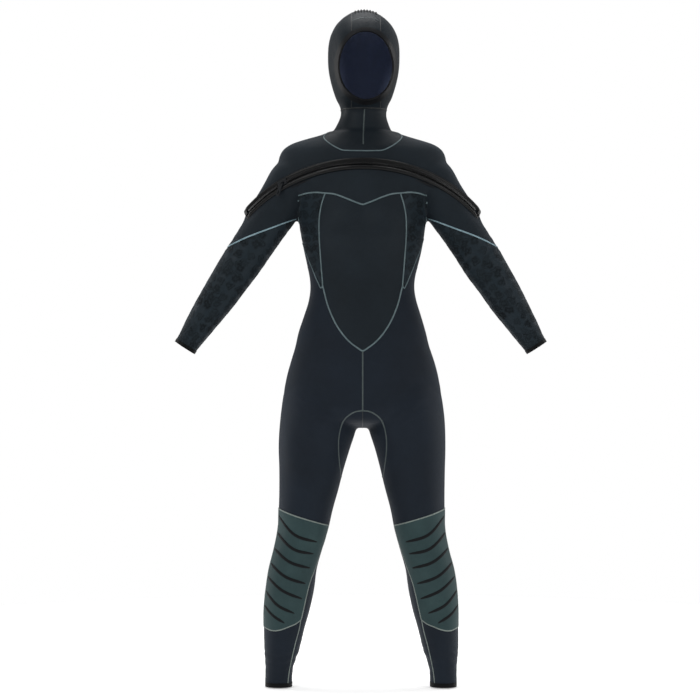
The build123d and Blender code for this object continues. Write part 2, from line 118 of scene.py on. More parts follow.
CUFF, HEM, OPEN = 9.0, 11.0, 0.5  # wrist band, ankle band and cut end, up from the mounts
ARM_REACH = 82.0  # half of a width that holds the sleeve and no part of the hips

# --- Hood and zip, in millimetres ---

FACE_X, FACE_Z, FACE_HALF_WIDTH, FACE_HALF_HEIGHT = 5.0, 1470.0, 66.0, 80.0
RIM = 9.0
BROW = [(-50, 1562), (-38, 1570), (-22, 1579), (-4, 1584), (14, 1585), (30, 1581), (44, 1572),
        (56, 1562), (90, 1700), (-90, 1700)]
STRIP = 34.0
ZIP_MIDDLE = np.array([0.0, 96.0, 955.0])
ZIP_R = 343.8
ZIP_SLOPE, ZIP_LEAN = math.radians(56.2), math.radians(22.0)
ZIP_SPAN = 54.0  # degrees from its middle to each end


# --- Curves and meshes from numbers ---


def smooth_rows(rows, step):
    """Rows of numbers filled in by a smooth curve through them, the first column leading."""
    rows = np.array(rows, float)
    lead = rows[:, 0]
    slope = np.gradient(rows, lead, axis=0)
    out = []
    for i in range(len(rows) - 1):
        gap = lead[i + 1] - lead[i]
        count = max(1, int(round(abs(gap) / step)))
        for t in np.arange(count) / count:
            h = (2 * t**3 - 3 * t**2 + 1, t**3 - 2 * t**2 + t, -2 * t**3 + 3 * t**2, t**3 - t**2)
            leaving = h[0] * rows[i] + h[1] * gap * slope[i]
            arriving = h[2] * rows[i + 1] + h[3] * gap * slope[i + 1]
            out.append(leaving + arriving)
    out.append(rows[-1])
    return np.array(out)


def smooth_line(points, step):
    """A line through points of any dimension, evenly filled in."""
    points = np.array(points, float)
    length = np.concatenate([[0], np.cumsum(np.linalg.norm(np.diff(points, axis=0), axis=1))])
    return smooth_rows(np.column_stack([length, points]), step)[:, 1:]


def new_object(name, verts, faces, smooth=True):
    mesh = bpy.data.meshes.new(name)
    mesh.from_pydata(np.asarray(verts, float).tolist(), [], faces)
    mesh.polygons.foreach_set("use_smooth", [smooth] * len(mesh.polygons))
    obj = bpy.data.objects.new(name, mesh)
    bpy.context.scene.collection.objects.link(obj)
    return obj


def ring_faces(rings, count, base=0, capped=True):
    """Faces between rings of points that follow each other in a list, and over both ends."""
    faces = []
    for a in range(base, base + (rings - 1) * count, count):
        for j in range(count):
            k = (j + 1) % count
            faces.append((a + j, a + k, a + count + k, a + count + j))
    if capped:
        last = base + (rings - 1) * count
        faces.append(tuple(range(base, base + count))[::-1])
        faces.append(tuple(range(last, last + count)))
    return faces


def ring_solid(name, rings):
    """Closed solid through rings of points, all of the same count."""
    return new_object(name, np.vstack(rings), ring_faces(len(rings), len(rings[0])))


def outward(obj):
    """Turns the faces of a closed piece outwards."""
    bm = bmesh.new()
    bm.from_mesh(obj.data)
    bmesh.ops.recalc_face_normals(bm, faces=bm.faces)
    bm.to_mesh(obj.data)
    bm.free()


def oval(middle, x_dir, y_dir, half_width, front, back, count=72):
    """Oval ring whose front and back halves differ in depth; y_dir points to the back."""
    angle = np.linspace(0, 2 * math.pi, count, endpoint=False)
    depth = np.where(np.sin(angle) > 0, back, front)
    power = 0.94
    c = np.sign(np.cos(angle)) * np.abs(np.cos(angle)) ** power
    s = np.sign(np.sin(angle)) * np.abs(np.sin(angle)) ** power
    return middle + np.outer(half_width * c, x_dir) + np.outer(depth * s, y_dir)


X, Y = np.eye(3)[:2]
ZIP_TOP = np.array([0, -math.cos(ZIP_SLOPE), math.sin(ZIP_SLOPE)])  # from its middle to its top
ZIP_DOWN = np.array([0, -math.sin(ZIP_SLOPE), -math.cos(ZIP_SLOPE)])  # along its axis


def arm_frame(side, up):
    """Middle of the sleeve some mm above the wrist, with the directions across and along it."""
    along = np.array([-side * math.sin(ARM_LEAN), 0, math.cos(ARM_LEAN)])
    across = np.array([math.cos(ARM_LEAN), 0, side * math.sin(ARM_LEAN)])
    return np.array([side * WRIST_X, 0, WRIST_Z]) + along * up, across, along


def zip_directions(turn):
    """At degrees along the zip: away from its middle, to its upper side, and out of the cloth."""
    angle = np.radians(turn)[..., None]
    radius = ZIP_TOP * np.cos(angle) + X * np.sin(angle)
    across = radius * math.sin(ZIP_LEAN) - ZIP_DOWN * math.cos(ZIP_LEAN)
    out = radius * math.cos(ZIP_LEAN) + ZIP_DOWN * math.sin(ZIP_LEAN)
    return radius, across, out


def zip_point(turn, x=0.0, y=0.0):
    """Point by the zip: turn in degrees along it, x to its upper side, y outwards, in mm."""
    radius, across, out = zip_directions(np.float64(turn))
    return ZIP_MIDDLE + radius * ZIP_R + across * x + out * y


def zip_fields(v):
    """For points in mm: turn along the zip in degrees, x to its upper side, y outwards."""
    rel = v - ZIP_MIDDLE
    a, b, h = rel @ ZIP_TOP, rel @ X, rel @ ZIP_DOWN
    d = np.hypot(a, b) - ZIP_R
    across = d * math.sin(ZIP_LEAN) - h * math.cos(ZIP_LEAN)
    out = d * math.cos(ZIP_LEAN) + h * math.sin(ZIP_LEAN)
    return np.degrees(np.arctan2(b, a)), across, out


# --- The body inside the suit, as one skin ---


def body_parts():
    """Torso, head, legs and arms as separate closed forms that run into each other."""
    parts = [
        ring_solid("torso_form", [oval(np.array([0, 0, z]), X, Y, a, f, b) * MM
                                  for z, a, f, b in smooth_rows(TORSO, 6)]),
        ring_solid("head_form", [oval(np.array([0, y, z]), X, Y, a, d, d) * MM
                                 for z, a, d, y in smooth_rows(HEAD, 5)]),
    ]
    for side in SIDES.values():
        parts.append(ring_solid("leg_form", [oval(np.array([side * x, y, z]), X, Y, a, d, d) * MM
                                             for z, x, a, d, y in smooth_rows(LEG, 8)]))
        rings = []
        for up, a, d in smooth_rows(ARM, 8):
            middle, across, _ = arm_frame(side, up)
            rings.append(oval(middle, across * side, Y, a, d, d) * MM)
        parts.append(ring_solid("arm_form", rings))
    return parts


def join_and_remesh(parts):
    """One closed skin around all forms, as points in mm and triangles."""
    bpy.ops.object.select_all(action="DESELECT")
    for part in parts:
        outward(part)
        part.select_set(True)
    bpy.context.view_layer.objects.active = parts[0]
    bpy.ops.object.join()
    body = bpy.context.view_layer.objects.active
    remesh = body.modifiers.new("union", "REMESH")
    remesh.mode = "VOXEL"
    remesh.voxel_size = VOXEL * MM
    done = body.evaluated_get(bpy.context.evaluated_depsgraph_get()).data
    verts = np.zeros(len(done.vertices) * 3)
    done.vertices.foreach_get("co", verts)
    done.calc_loop_triangles()
    tris = np.zeros(len(done.loop_triangles) * 3, int)
    done.loop_triangles.foreach_get("vertices", tris)
    bpy.data.objects.remove(body)
    return verts.reshape(-1, 3) / MM, tris.reshape(-1, 3)


def edges_of(tris):
    """Each edge once, as a pair of points."""
    pairs = np.sort(np.vstack([tris[:, [0, 1]], tris[:, [1, 2]], tris[:, [2, 0]]]), axis=1)
    size = int(tris.max()) + 1
    code = np.unique(pairs[:, 0] * size + pairs[:, 1])
    return np.column_stack([code // size, code % size])


def relax(v, tris, rounds, share=0.5):
    """Evens the surface without shrinking it."""
    e = edges_of(tris)
    count = np.bincount(e.ravel(), minlength=len(v)).astype(float)[:, None]
    for step in range(rounds * 2):
        total = np.zeros_like(v)
        np.add.at(total, e[:, 0], v[e[:, 1]])
        np.add.at(total, e[:, 1], v[e[:, 0]])
        amount = share if step % 2 == 0 else -share * 1.02
        v = v + amount * (total / count - v)
    return v


def unit(v):
    return v / np.maximum(np.linalg.norm(v, axis=1, keepdims=True), 1e-9)


def normals_of(v, tris):
    """Outward direction of the surface at each point."""
    a, b, c = v[tris[:, 0]], v[tris[:, 1]], v[tris[:, 2]]
    n = np.cross(b - a, c - a)
    out = np.zeros_like(v)
    for i in range(3):
        np.add.at(out, tris[:, i], n)
    return unit(out)


def bump(v, middle, size, push):
    """Push of the surface near a point, fading smoothly."""
    d = (v - np.array(middle, float)) / np.array(size, float)
    return np.exp(-(d**2).sum(1))[:, None] * np.array(push, float)


def wave_noise(v, scale, seed):
    """Smooth, repeatable noise from a few crossed waves, about -1 to 1."""
    rng = np.random.default_rng(seed)
    total = np.zeros(len(v))
    for _ in range(9):
        k = rng.normal(size=3)
        k *= rng.uniform(0.6, 1.5) * 2 * math.pi / scale / np.linalg.norm(k)
        total += np.sin(v @ k + rng.uniform(0, 2 * math.pi))
    return total / 3.0


def sculpt(v, tris):
    """Bust, back, seat and muscle shapes, soft folds at the joints, and the bed of the zip."""
    v = relax(v, tris, 8)
    front = v[:, 1] < 0
    for side in SIDES.values():
        v += bump(v, (side * 62, -112, 1082), (46, 60, 48), (side * 2, -15, 3)) * front[:, None]
        v += bump(v, (side * 70, 130, 690), (58, 60, 62), (side * 2, 9, 0))
        v += bump(v, (side * 60, 105, 1170), (50, 40, 60), (0, 5, 0))
        v += bump(v, (side * 178, 66, 170), (40, 50, 60), (0, 5, 0))
    v += bump(v, (0, -112, 1085), (20, 40, 60), (0, 7, 0))
    v += bump(v, (0, 118, 690), (14, 50, 75), (0, -7, 0))
    v += bump(v, (0, 105, 1080), (22, 40, 150), (0, -6, 0))
    v += bump(v, (0, -105, 840), (70, 40, 60), (0, -3, 0))
    n = normals_of(v, tris)
    v += n * (wave_noise(v, 90, 3) * 0.7)[:, None]
    v += n * folds(v)[:, None]
    turn, across, out = zip_fields(v)
    near = np.exp(-(across / 24) ** 2) * (np.abs(out) < 34)
    near *= np.clip((ZIP_SPAN + 4 - np.abs(turn)) / 6, 0, 1)
    v += zip_directions(turn)[2] * (near * (-1.5 - out))[:, None]
    return relax(v, tris, 2, 0.35)


def folds(v):
    """Heights of soft creases where the neoprene bends: elbows, knees, hips and ankles."""
    x, y, z = v.T
    ax, side = np.abs(x), np.sign(x)
    arm_up = (ax - WRIST_X) * -math.sin(ARM_LEAN) + (z - WRIST_Z) * math.cos(ARM_LEAN)
    wobble = wave_noise(v, 70, 11) * 6

    def band(at, middle, reach):
        return np.exp(-((at - middle) / reach) ** 2)

    def creases(where, along, pitch, height):
        return where * np.sin((along + wobble) * 2 * math.pi / pitch) * height

    elbow = band(arm_up, 262, 42) * ((ax > 165) & (z > 780)) * np.clip(-y / 50 + 0.3, 0, 1)
    knee = band(z, 288, 42) * np.clip((y - 12) / 30, 0, 1)
    hip = band(z - 0.55 * (ax - 60), 640, 26) * band(ax, 95, 60) * np.clip((-y - 30) / 30, 0, 1)
    ankle = band(z, 66, 40) * (z < 150)
    return (creases(elbow, arm_up + 0.25 * side * y, 24, 1.0) + creases(knee, z, 22, 1.1)
            + creases(hip, z - 0.55 * ax, 30, 0.9) + creases(ankle, z + 0.3 * ax, 20, 0.7))


# --- Regions in the front view ---


def seam(*lines, side=1):
    """Seams joined end to end as one polygon; a seam of more than two points is smoothed."""
    parts = [smooth_line(line, 3.0) if len(line) > 2 else np.array(line, float) for line in lines]
    return np.vstack(parts) * [side, 1]


def inside(poly, v):
    """Signed distance to a polygon in the front view, positive inside, for points in mm."""
    x, z = v[:, 0], v[:, 2]
    a, b = poly, np.roll(poly, -1, axis=0)
    keep = np.linalg.norm(b - a, axis=1) > 1e-6
    a, b = a[keep], b[keep]
    p = np.column_stack([x, z])
    best = np.full(len(p), 1e9)
    cross = np.zeros(len(p), int)
    for (ax, az), (bx, bz) in zip(a, b):
        dx, dz = bx - ax, bz - az
        t = np.clip(((p[:, 0] - ax) * dx + (p[:, 1] - az) * dz) / (dx * dx + dz * dz), 0, 1)
        d = np.hypot(p[:, 0] - ax - t * dx, p[:, 1] - az - t * dz)
        best = np.minimum(best, d)
        if dz:
            hit = ((az > p[:, 1]) != (bz > p[:, 1])) & (p[:, 0] < dx * (p[:, 1] - az) / dz + ax)
            cross += hit
    return np.where(cross % 2 == 1, best, -best)


def both_sides(*lines):
    """A half outline and its mirror image as one polygon."""
    return np.vstack([seam(*lines, side=1), seam(*lines, side=-1)[::-1]])


def per_side(*lines):
    """The same polygon on each side."""
    return {s: seam(*lines, side=k) for s, k in SIDES.items()}


HEART_POLY = both_sides(HEART, PRINCESS, VEE)
TOP_POLY = both_sides(HEART, CUP_TOP, [(152, 1118), (300, 1080)], [(300, 1420), (0, 1420)])
GUSSET_POLY = both_sides(GUSSET, [(50, 500), (0, 500)])
CUP_POLY = per_side(PRINCESS[::-1], CUP_TOP, SIDE_SEAM)
ARM_POLY = {s: np.array(ARMHOLE, float) * [k, 1] for s, k in SIDES.items()}
FORE_POLY = per_side([(120, 1129), (190, 1101)], SLEEVE_SEAM, [(560, 950), (560, 700)],
                     [(180, 700), (120, 1129)])
PAD_POLY = per_side([(280, 155), (280, 450)], PAD_TOP[::-1], PAD_INNER, PAD_BOTTOM)
SHIN_POLY = per_side(SHIN_SEAM, [(175, -20), (290, -20)], [(280, 155), (260, 155)],
                     PAD_BOTTOM[::-1])


def oval_field(v, grow):
    """Signed distance to the face opening grown by some mm, positive inside."""
    x, z = v[:, 0], v[:, 2]
    a, b = FACE_HALF_WIDTH + grow, FACE_HALF_HEIGHT + grow
    q = np.sqrt(((x - FACE_X) / a) ** 2 + ((z - FACE_Z) / b) ** 2)
    return (1 - q) * a * b / np.hypot(a, b) * 1.4


def collar_field(v):
    """Height above the seam that joins the collar to the yoke, low in front and high at the sides."""
    x, y, z = np.abs(v[:, 0]), v[:, 1], v[:, 2]
    return z - 1314 - np.where(y < 0, 0.52, 0.25) * y - 0.35 * np.maximum(x - 48, 0)


def seam_fields(v):
    """Every seam by name: a way to get signed distances for points, and where it may cut."""
    x, y, z = v.T
    ax = np.abs(x)
    arms = (ax > 150) & (np.abs(arm_coordinates(v)[2]) < ARM_REACH)
    chest = (z > 760) & ~((ax > 230) & (z < 1100))
    front = y < SIDE_Y + 4
    brow = np.array(BROW, float)
    face = (y < 0) & (z > 1360)
    cut = {
        "side": (lambda p: p[:, 1] - SIDE_Y, ~((ax > 160) & arms)),
        "collar": (collar_field, (z > 1260) & (ax < 110)),
        "neck": (lambda p: p[:, 2] - NECKLINE, z > 1330),
        "heart": (lambda p: inside(HEART_POLY, p), front & chest),
        "top": (lambda p: inside(TOP_POLY, p), front & (z > 1090)),
        "middle": (lambda p: p[:, 0], (z < 820) & (ax < 60)),
        "gusset": (lambda p: inside(GUSSET_POLY, p), (z < 700) & (ax < 90)),
        "yoke": (lambda p: p[:, 2] - YOKE_BACK, (y > 0) & (ax < 280)),
        "lumbar": (lambda p: p[:, 2] - LUMBAR, (y > 0) & (ax < 180)),
        "seat": (lambda p: p[:, 2] - SEAT, (y > 0) & (ax < 200)),
        "knee_low": (lambda p: p[:, 2] - KNEE_LOW, z < 260),
        "knee_high": (lambda p: p[:, 2] - KNEE_HIGH, (z < 420) & (z > 340)),
        "zip": (lambda p: zip_fields(p)[1], (y < 60) & (z > 1060) & (z < 1290)),
        "cuff": (lambda p: arm_coordinates(p)[1] - CUFF, arms & (z < 860)),
        "hem": (lambda p: p[:, 2] - HEM, z < 40),
        "foot": (lambda p: p[:, 2] - OPEN, z < 20),
        "hand": (lambda p: arm_coordinates(p)[1] - OPEN, (ax > 350) & (z > 700)),
        "rim": (lambda p: oval_field(p, RIM), face),
        "face": (lambda p: oval_field(p, 0), face),
        "strip_left": (lambda p: p[:, 0] - FACE_X - STRIP, z > 1360),
        "strip_right": (lambda p: p[:, 0] - FACE_X + STRIP, z > 1360),
        "brow": (lambda p: inside(brow, p), (z > 1540) & (y < 10)),
    }
    for s in SIDES:
        mine = x * SIDES[s] > 0
        for name, poly, where in (
                ("cup", CUP_POLY, front & chest & (z > 920)),
                ("arm", ARM_POLY, (z > 900) & (ax > 130)),
                ("fore", FORE_POLY, (z > 980) & (ax > 155)),
                ("pad", PAD_POLY, (z < 480) & front),
                ("shin", SHIN_POLY, (z < 175) & front)):
            cut[f"{name}_{s}"] = (lambda p, poly=poly[s]: inside(poly, p), mine & where)
    return cut


def cut_once(v, tris, distance, domain):
    """Splits triangles where a distance changes sign, so that its zero line lies on edges."""
    f = np.full(len(v), 1e3)
    f[domain] = distance(v[domain])
    f = np.where(np.abs(f) < SNAP, 0.0, f)
    s = np.sign(f)
    mixed = (s[tris].min(1) < 0) & (s[tris].max(1) > 0)
    if not mixed.any():
        return v, tris
    e = edges_of(tris[mixed])
    crossing = (s[e[:, 0]] * s[e[:, 1]] < 0) & domain[e[:, 0]] & domain[e[:, 1]]
    e = e[crossing]
    if not len(e):
        return v, tris
    t = (f[e[:, 0]] / (f[e[:, 0]] - f[e[:, 1]]))[:, None]
    added = v[e[:, 0]] * (1 - t) + v[e[:, 1]] * t
    key = {(int(a), int(b)): len(v) + i for i, (a, b) in enumerate(e)}
    touched = np.zeros(len(v), bool)
    touched[e.ravel()] = True
    busy = touched[tris].sum(1) >= 2
    out = [tris[~busy]]
    extra = []
    for i, j, k in tris[busy].tolist():
        m = [key.get((min(p), max(p)), -1) for p in ((i, j), (j, k), (k, i))]
        hits = sum(q >= 0 for q in m)
        if hits == 0:
            extra.append((i, j, k))
            continue
        c = [i, j, k]
        if hits == 1:
            r = next(n for n in range(3) if m[n] >= 0)
            a, b, d = c[r], c[(r + 1) % 3], c[(r + 2) % 3]
            extra += [(a, m[r], d), (m[r], b, d)]
        elif hits == 2:
            r = next(n for n in range(3) if m[n] < 0)
            a, b, d = c[(r + 1) % 3], c[(r + 2) % 3], c[r]
            p, q = m[(r + 1) % 3], m[(r + 2) % 3]
            extra += [(p, b, q), (a, p, q), (q, d, a)]
        else:
            extra += [(i, m[0], m[2]), (m[0], j, m[1]), (m[2], m[1], k), (m[0], m[1], m[2])]
    out.append(np.array(extra, int).reshape(-1, 3))
    return np.vstack([v, added]), np.vstack(out)


# Seams whose distances are needed all over, to tell the panels apart
EVERYWHERE = ("collar", "zip", "cuff", "rim", "face", "strip_left", "strip_right",
              "arm_left", "arm_right", "fore_left", "fore_right")


def label_faces(v, tris):
    """The panel that each triangle belongs to."""
    c = v[tris].mean(1)
    x, y, z = c.T
    f = {}
    for name, (distance, domain) in seam_fields(c).items():
        f[name] = np.full(len(c), -1e3)
        wide = domain | (name in EVERYWHERE)
        f[name][wide] = distance(c[wide])
    ax = np.abs(x)
    front = y < SIDE_Y
    side = np.where(x < 0, "right", "left")
    by_arm = np.abs(arm_coordinates(c)[2]) < ARM_REACH
    label = np.full(len(c), "", dtype=object)

    def put(mask, name):
        label[mask & (label == "")] = name

    def put_sided(mask, name):
        for s in SIDES:
            put(mask & (side == s), f"{name}_{s}")

    head = z > NECKLINE
    put((z < OPEN) | ((ax > 350) & (z > 700) & (arm_coordinates(c)[1] < OPEN)), "hole")
    put(head & (f["face"] > 0) & (y < 0), "hole")
    put(head & (f["rim"] > 0) & (y < 0), "face_rim")
    strip = (f["strip_left"] < 0) & (f["strip_right"] > 0)
    put(head & (f["brow"] > 0) & (y < 10) & strip, "hood_crown")
    put(head & strip & (y >= 10), "hood_crown")
    put(head & strip & (z < 1410), "hood_chin")
    put(head & (f["brow"] <= 0) & strip & (y < 10) & (z > 1520), "hood_brow")
    put_sided(head, "hood")
    put((f["collar"] > 0) & (ax < 110) & (z > 1260), "collar")
    for s in SIDES:
        sleeve = (f["arm_" + s] > 0) | ((f["fore_" + s] > 0) & (ax > 160))
        arm = (side == s) & by_arm & sleeve
        put(arm & (f["cuff"] < 0) & (z < 860), f"wrist_cuff_{s}")
        put(arm & (f["fore_" + s] > 0), f"forearm_{s}")
        put(arm, f"upper_sleeve_{s}")
        leg = (side == s) & (z < SEAT)
        put(leg & (z < HEM), f"ankle_cuff_{s}")
        put(leg & (f["gusset"] > 0), f"gusset_{s}")
        put(leg & front & (f["pad_" + s] > 0), f"knee_pad_{s}")
        put(leg & front & (z < 175) & (f["shin_" + s] > 0), f"shin_front_{s}")
        put(leg & (z < KNEE_LOW), f"calf_{s}")
        put(leg & (z < KNEE_HIGH), f"knee_back_{s}")
        put(leg & ~front, f"seat_{s}")
    put(front & (f["heart"] > 0), "bodice_centre")
    for s in SIDES:
        put(front & (side == s) & (f["cup_" + s] > 0), f"side_chest_{s}")
    put(front & (f["top"] > 0) & (f["zip"] < 0), "chest_upper")
    put(front & (f["top"] > 0), "yoke_front")
    put_sided(front, "front_side")
    put(z > YOKE_BACK, "yoke_back")
    put(z > LUMBAR, "back_upper")
    put(z > SEAT, "back_lumbar")
    return label


def cut_skin():
    """The skin with its seams along edges, and the panel of each triangle."""
    v, tris = join_and_remesh(body_parts())
    v = sculpt(v, tris)
    for name in seam_fields(v):
        v, tris = cut_once(v, tris, *seam_fields(v)[name])
    label = label_faces(v, tris)
    keep = label != "hole"
    return v, tris[keep], label[keep]


ARM_SHIFT, LEG_SHIFT, HEAD_SHIFT = -4.0, -3.0, 3.0  # mm sideways at wrists, ankles and head


def settle(v):
    """Small leans of the limbs and head to one side, as in the picture, for points in mm."""
    v = v.copy()
    x, z = v[:, 0], v[:, 2]
    arm = (np.abs(x) > 200) & (z < 1110) & (z > 740)
    down_arm = np.clip((1110 - z) / 300, 0, 1)
    down_leg = np.clip((620 - z) / 320, 0, 1)
    shift = np.where(arm, ARM_SHIFT * down_arm**1.5, 0)
    shift += LEG_SHIFT * down_leg**2 * (3 - 2 * down_leg)
    shift += HEAD_SHIFT * np.clip((z - 1310) / 60, 0, 1)
    v[:, 0] += shift
    return v


# --- Joints that pieces cross: body, next body, start and end of the bend, in metres ---


def hips(side):
    k = SIDES[side]
    return ("torso", f"thigh_{side}", (k * 0.0, 0.012, 0.645), (k * 0.12, 0.012, 0.480))


def knees(side):
    k = SIDES[side]
    return (f"thigh_{side}", f"shin_{side}", (k * 0.14, 0.008, 0.362), (k * 0.176, 0.008, 0.205))


def elbows(side):
    start, _, _ = arm_frame(SIDES[side], 312)
    end, _, _ = arm_frame(SIDES[side], 188)
    return ("torso", f"forearm_{side}", tuple(start * MM), tuple(end * MM))


NECK = ("torso", "hood", (0, 0.015, 1.316), (0, 0.015, 1.374))


def attach(obj, place):
    """Rides a piece on one body; a piece that crosses a joint is only baked in place."""
    if isinstance(place, str):
        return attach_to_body(obj, place)
    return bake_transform(obj)


PANEL_PLACES = {
    "front_side": hips, "gusset": hips, "seat": hips, "knee_pad": knees, "knee_back": knees,
    "calf": knees, "shin_front": knees, "forearm": elbows, "upper_sleeve": elbows,
    "ankle_cuff": lambda side: f"shin_{side}", "wrist_cuff": lambda side: f"forearm_{side}",
    "hood": lambda side: "hood",
}


def panel_place(label):
    """The body that a panel rides on, or the bend that it crosses."""
    name, _, side = label.rpartition("_")
    if side in SIDES and name in PANEL_PLACES:
        return PANEL_PLACES[name](side)
    if label == "collar":
        return NECK
    return "hood" if label.startswith("hood") or label == "face_rim" else "torso"


REPLACED = {
    "front_side": ["front_side", "thigh_top", "thigh_front"],
    "seat": ["thigh_back"],
    "upper_sleeve": ["upper_sleeve", "elbow"],
}
ONLY_LEFT_REPLACES = {"seat_left": ["seat", "thigh_back_left"], "gusset_left": ["gusset"]}


def replaced_nodes(label):
    """The CAD nodes that a panel stands for; a node on both sides goes to the left panel."""
    name, _, side = label.rpartition("_")
    nodes = [f"{n}_{side}" for n in REPLACED.get(name, [name])] if side in SIDES else [label]
    return ONLY_LEFT_REPLACES.get(label, [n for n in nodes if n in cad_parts])


def shell(name, v, tris, normals, thick, lift=0.0, refine=0, height=None):
    """Closed panel: outer skin, inner skin and the cut edge between them."""
    used, index = np.unique(tris, return_inverse=True)
    faces = index.reshape(-1, 3)
    outer, n = v[used], normals[used]
    for _ in range(refine):
        outer, n, faces = split_all(outer, n, faces)
    if height is not None:
        outer = outer + n * height(outer)[:, None]
    outer = outer + n * lift
    inner = outer - n * thick
    count = len(outer)
    half = np.vstack([faces[:, [0, 1]], faces[:, [1, 2]], faces[:, [2, 0]]])
    key = np.sort(half, axis=1)
    _, first, uses = np.unique(key[:, 0] * (count + 1) + key[:, 1], return_index=True, return_counts=True)
    rim = half[first[uses == 1]]
    wall = np.column_stack([rim[:, 1], rim[:, 0], rim[:, 0] + count, rim[:, 1] + count])
    allv = settle(np.vstack([outer, inner])) * MM
    polys = faces.tolist() + (faces[:, ::-1] + count).tolist() + wall.tolist()
    obj = new_object(name, allv, polys)
    inner_face = np.zeros(len(polys), int)
    inner_face[len(faces):2 * len(faces)] = 1
    obj.data.materials.append(None)
    obj.data.materials.append(None)
    obj.data.polygons.foreach_set("material_index", inner_face)
    mark_sharp(obj, rim, count)
    return obj


def mark_sharp(obj, rim, count):
    """Keeps the two edges of a panel's cut side crisp."""
    mesh = obj.data
    pairs = np.zeros(len(mesh.edges) * 2, int)
    mesh.edges.foreach_get("vertices", pairs)
    pairs = np.sort(pairs.reshape(-1, 2), axis=1)
    sharp = np.sort(np.vstack([rim, rim + count]), axis=1)
    size = 2 * count + 1
    flags = np.isin(pairs[:, 0] * size + pairs[:, 1], sharp[:, 0] * size + sharp[:, 1])
    attribute = mesh.attributes.new("sharp_edge", "BOOLEAN", "EDGE")
    attribute.data.foreach_set("value", flags)


def split_all(v, n, faces):
    """Each triangle into four."""
    e = edges_of(faces)
    mid = (v[e[:, 0]] + v[e[:, 1]]) / 2
    mid_n = unit(n[e[:, 0]] + n[e[:, 1]])
    code = e[:, 0] * (len(v) + 1) + e[:, 1]
    order = np.argsort(code)

    def find(a, b):
        want = np.minimum(a, b) * (len(v) + 1) + np.maximum(a, b)
        return order[np.searchsorted(code[order], want)] + len(v)

    i, j, k = faces.T
    ij, jk, ki = find(i, j), find(j, k), find(k, i)
    quarters = (i, ij, ki), (ij, j, jk), (ki, jk, k), (ij, jk, ki)
    out = np.vstack([np.column_stack(q) for q in quarters])
    return np.vstack([v, mid]), np.vstack([n, mid_n]), out


# --- Emboss: flowers and curls, as heights ---


def blooms(u, w, pitch, seed):
    """Height 0 to 1 of a scatter of five-petalled flowers with curls between them."""
    height = np.zeros(len(u))
    u = u + 2.6 * np.sin(w / 8.3 + seed) + 1.4 * np.sin(w / 3.1)
    w = w + 2.4 * np.sin(u / 7.1) + 1.3 * np.sin(u / 2.7 + seed)
    cell_u, cell_w = np.floor(u / pitch).astype(int), np.floor(w / pitch).astype(int)
    for du in (-1, 0, 1):
        for dw in (-1, 0, 1):
            cu, cw = cell_u + du, cell_w + dw
            h = (cu * 73856093 ^ cw * 19349663 ^ seed * 83492791) & 0xFFFF
            r1, r2, r3 = (h & 31) / 31, ((h >> 5) & 31) / 31, ((h >> 10) & 63) / 63
            pu = (cu + 0.2 + 0.6 * r1) * pitch
            pw = (cw + 0.2 + 0.6 * r2) * pitch
            x, y = u - pu, w - pw
            r = np.hypot(x, y)
            size = pitch * (0.30 + 0.18 * r3)
            angle = np.arctan2(y, x) + r3 * 6.28
            petal = size * (0.62 + 0.38 * np.abs(np.cos(2.5 * angle)))
            flower = 1 / (1 + np.exp((r - petal) / (0.05 * pitch)))
            ring = np.exp(-((r - 0.28 * size) / (0.05 * pitch)) ** 2)
            vein = np.exp(-(np.sin(2.5 * angle) * r / (0.045 * pitch)) ** 2) * (r < petal)
            curl = np.exp(-((r - size * (1.12 + 0.10 * np.sin(angle))) / (0.05 * pitch)) ** 2)
            curl *= np.clip(np.cos(angle - 1.0) * 1.6, 0, 1)
            flower = np.clip(flower - 0.45 * ring - 0.5 * vein, 0, 1) * (0.45 + 0.55 * r2)
            height = np.maximum(height, flower)
            height = np.maximum(height, 0.8 * curl)
    return height


def arm_coordinates(v):
    """Around and along the sleeve, and outwards from its middle, in mm."""
    side = np.sign(v[:, 0])
    rel_x = np.abs(v[:, 0]) - WRIST_X
    rel_z = v[:, 2] - WRIST_Z
    up = rel_x * -math.sin(ARM_LEAN) + rel_z * math.cos(ARM_LEAN)
    across = rel_x * math.cos(ARM_LEAN) + rel_z * math.sin(ARM_LEAN)
    return np.arctan2(across, -v[:, 1]) * 44 * side, up, across


EMBOSS = 0.55  # mm from the pressed ground to the pile


def sleeve_blooms(v):
    u, w, _ = arm_coordinates(v)
    return blooms(u, w, 24, 5)


def chest_blooms(v):
    return blooms(v[:, 0], v[:, 2], 21, 9)


BLOOMS = {"forearm": sleeve_blooms, "side_chest": chest_blooms}


# --- Strips along seams ---


def pair(a, b):
    return min(a, b), max(a, b)


def chains(edges):
    """Edges linked end to end, as lists of vertices."""
    links = {}
    for a, b in edges:
        links.setdefault(a, []).append(b)
        links.setdefault(b, []).append(a)
    unused = {pair(a, b) for a, b in edges}
    found = []

    def walk(start, step):
        path = [start, step]
        unused.discard(pair(start, step))
        while len(links[path[-1]]) == 2:
            here = path[-1]
            ahead = [n for n in links[here] if pair(here, n) in unused]
            if not ahead:
                break
            unused.discard(pair(here, ahead[0]))
            path.append(ahead[0])
        found.append(path)

    for start in sorted(n for n, around in links.items() if len(around) != 2):
        for step in sorted(links[start]):
            if pair(start, step) in unused:
                walk(start, step)
    while unused:
        walk(*min(unused))
    return found


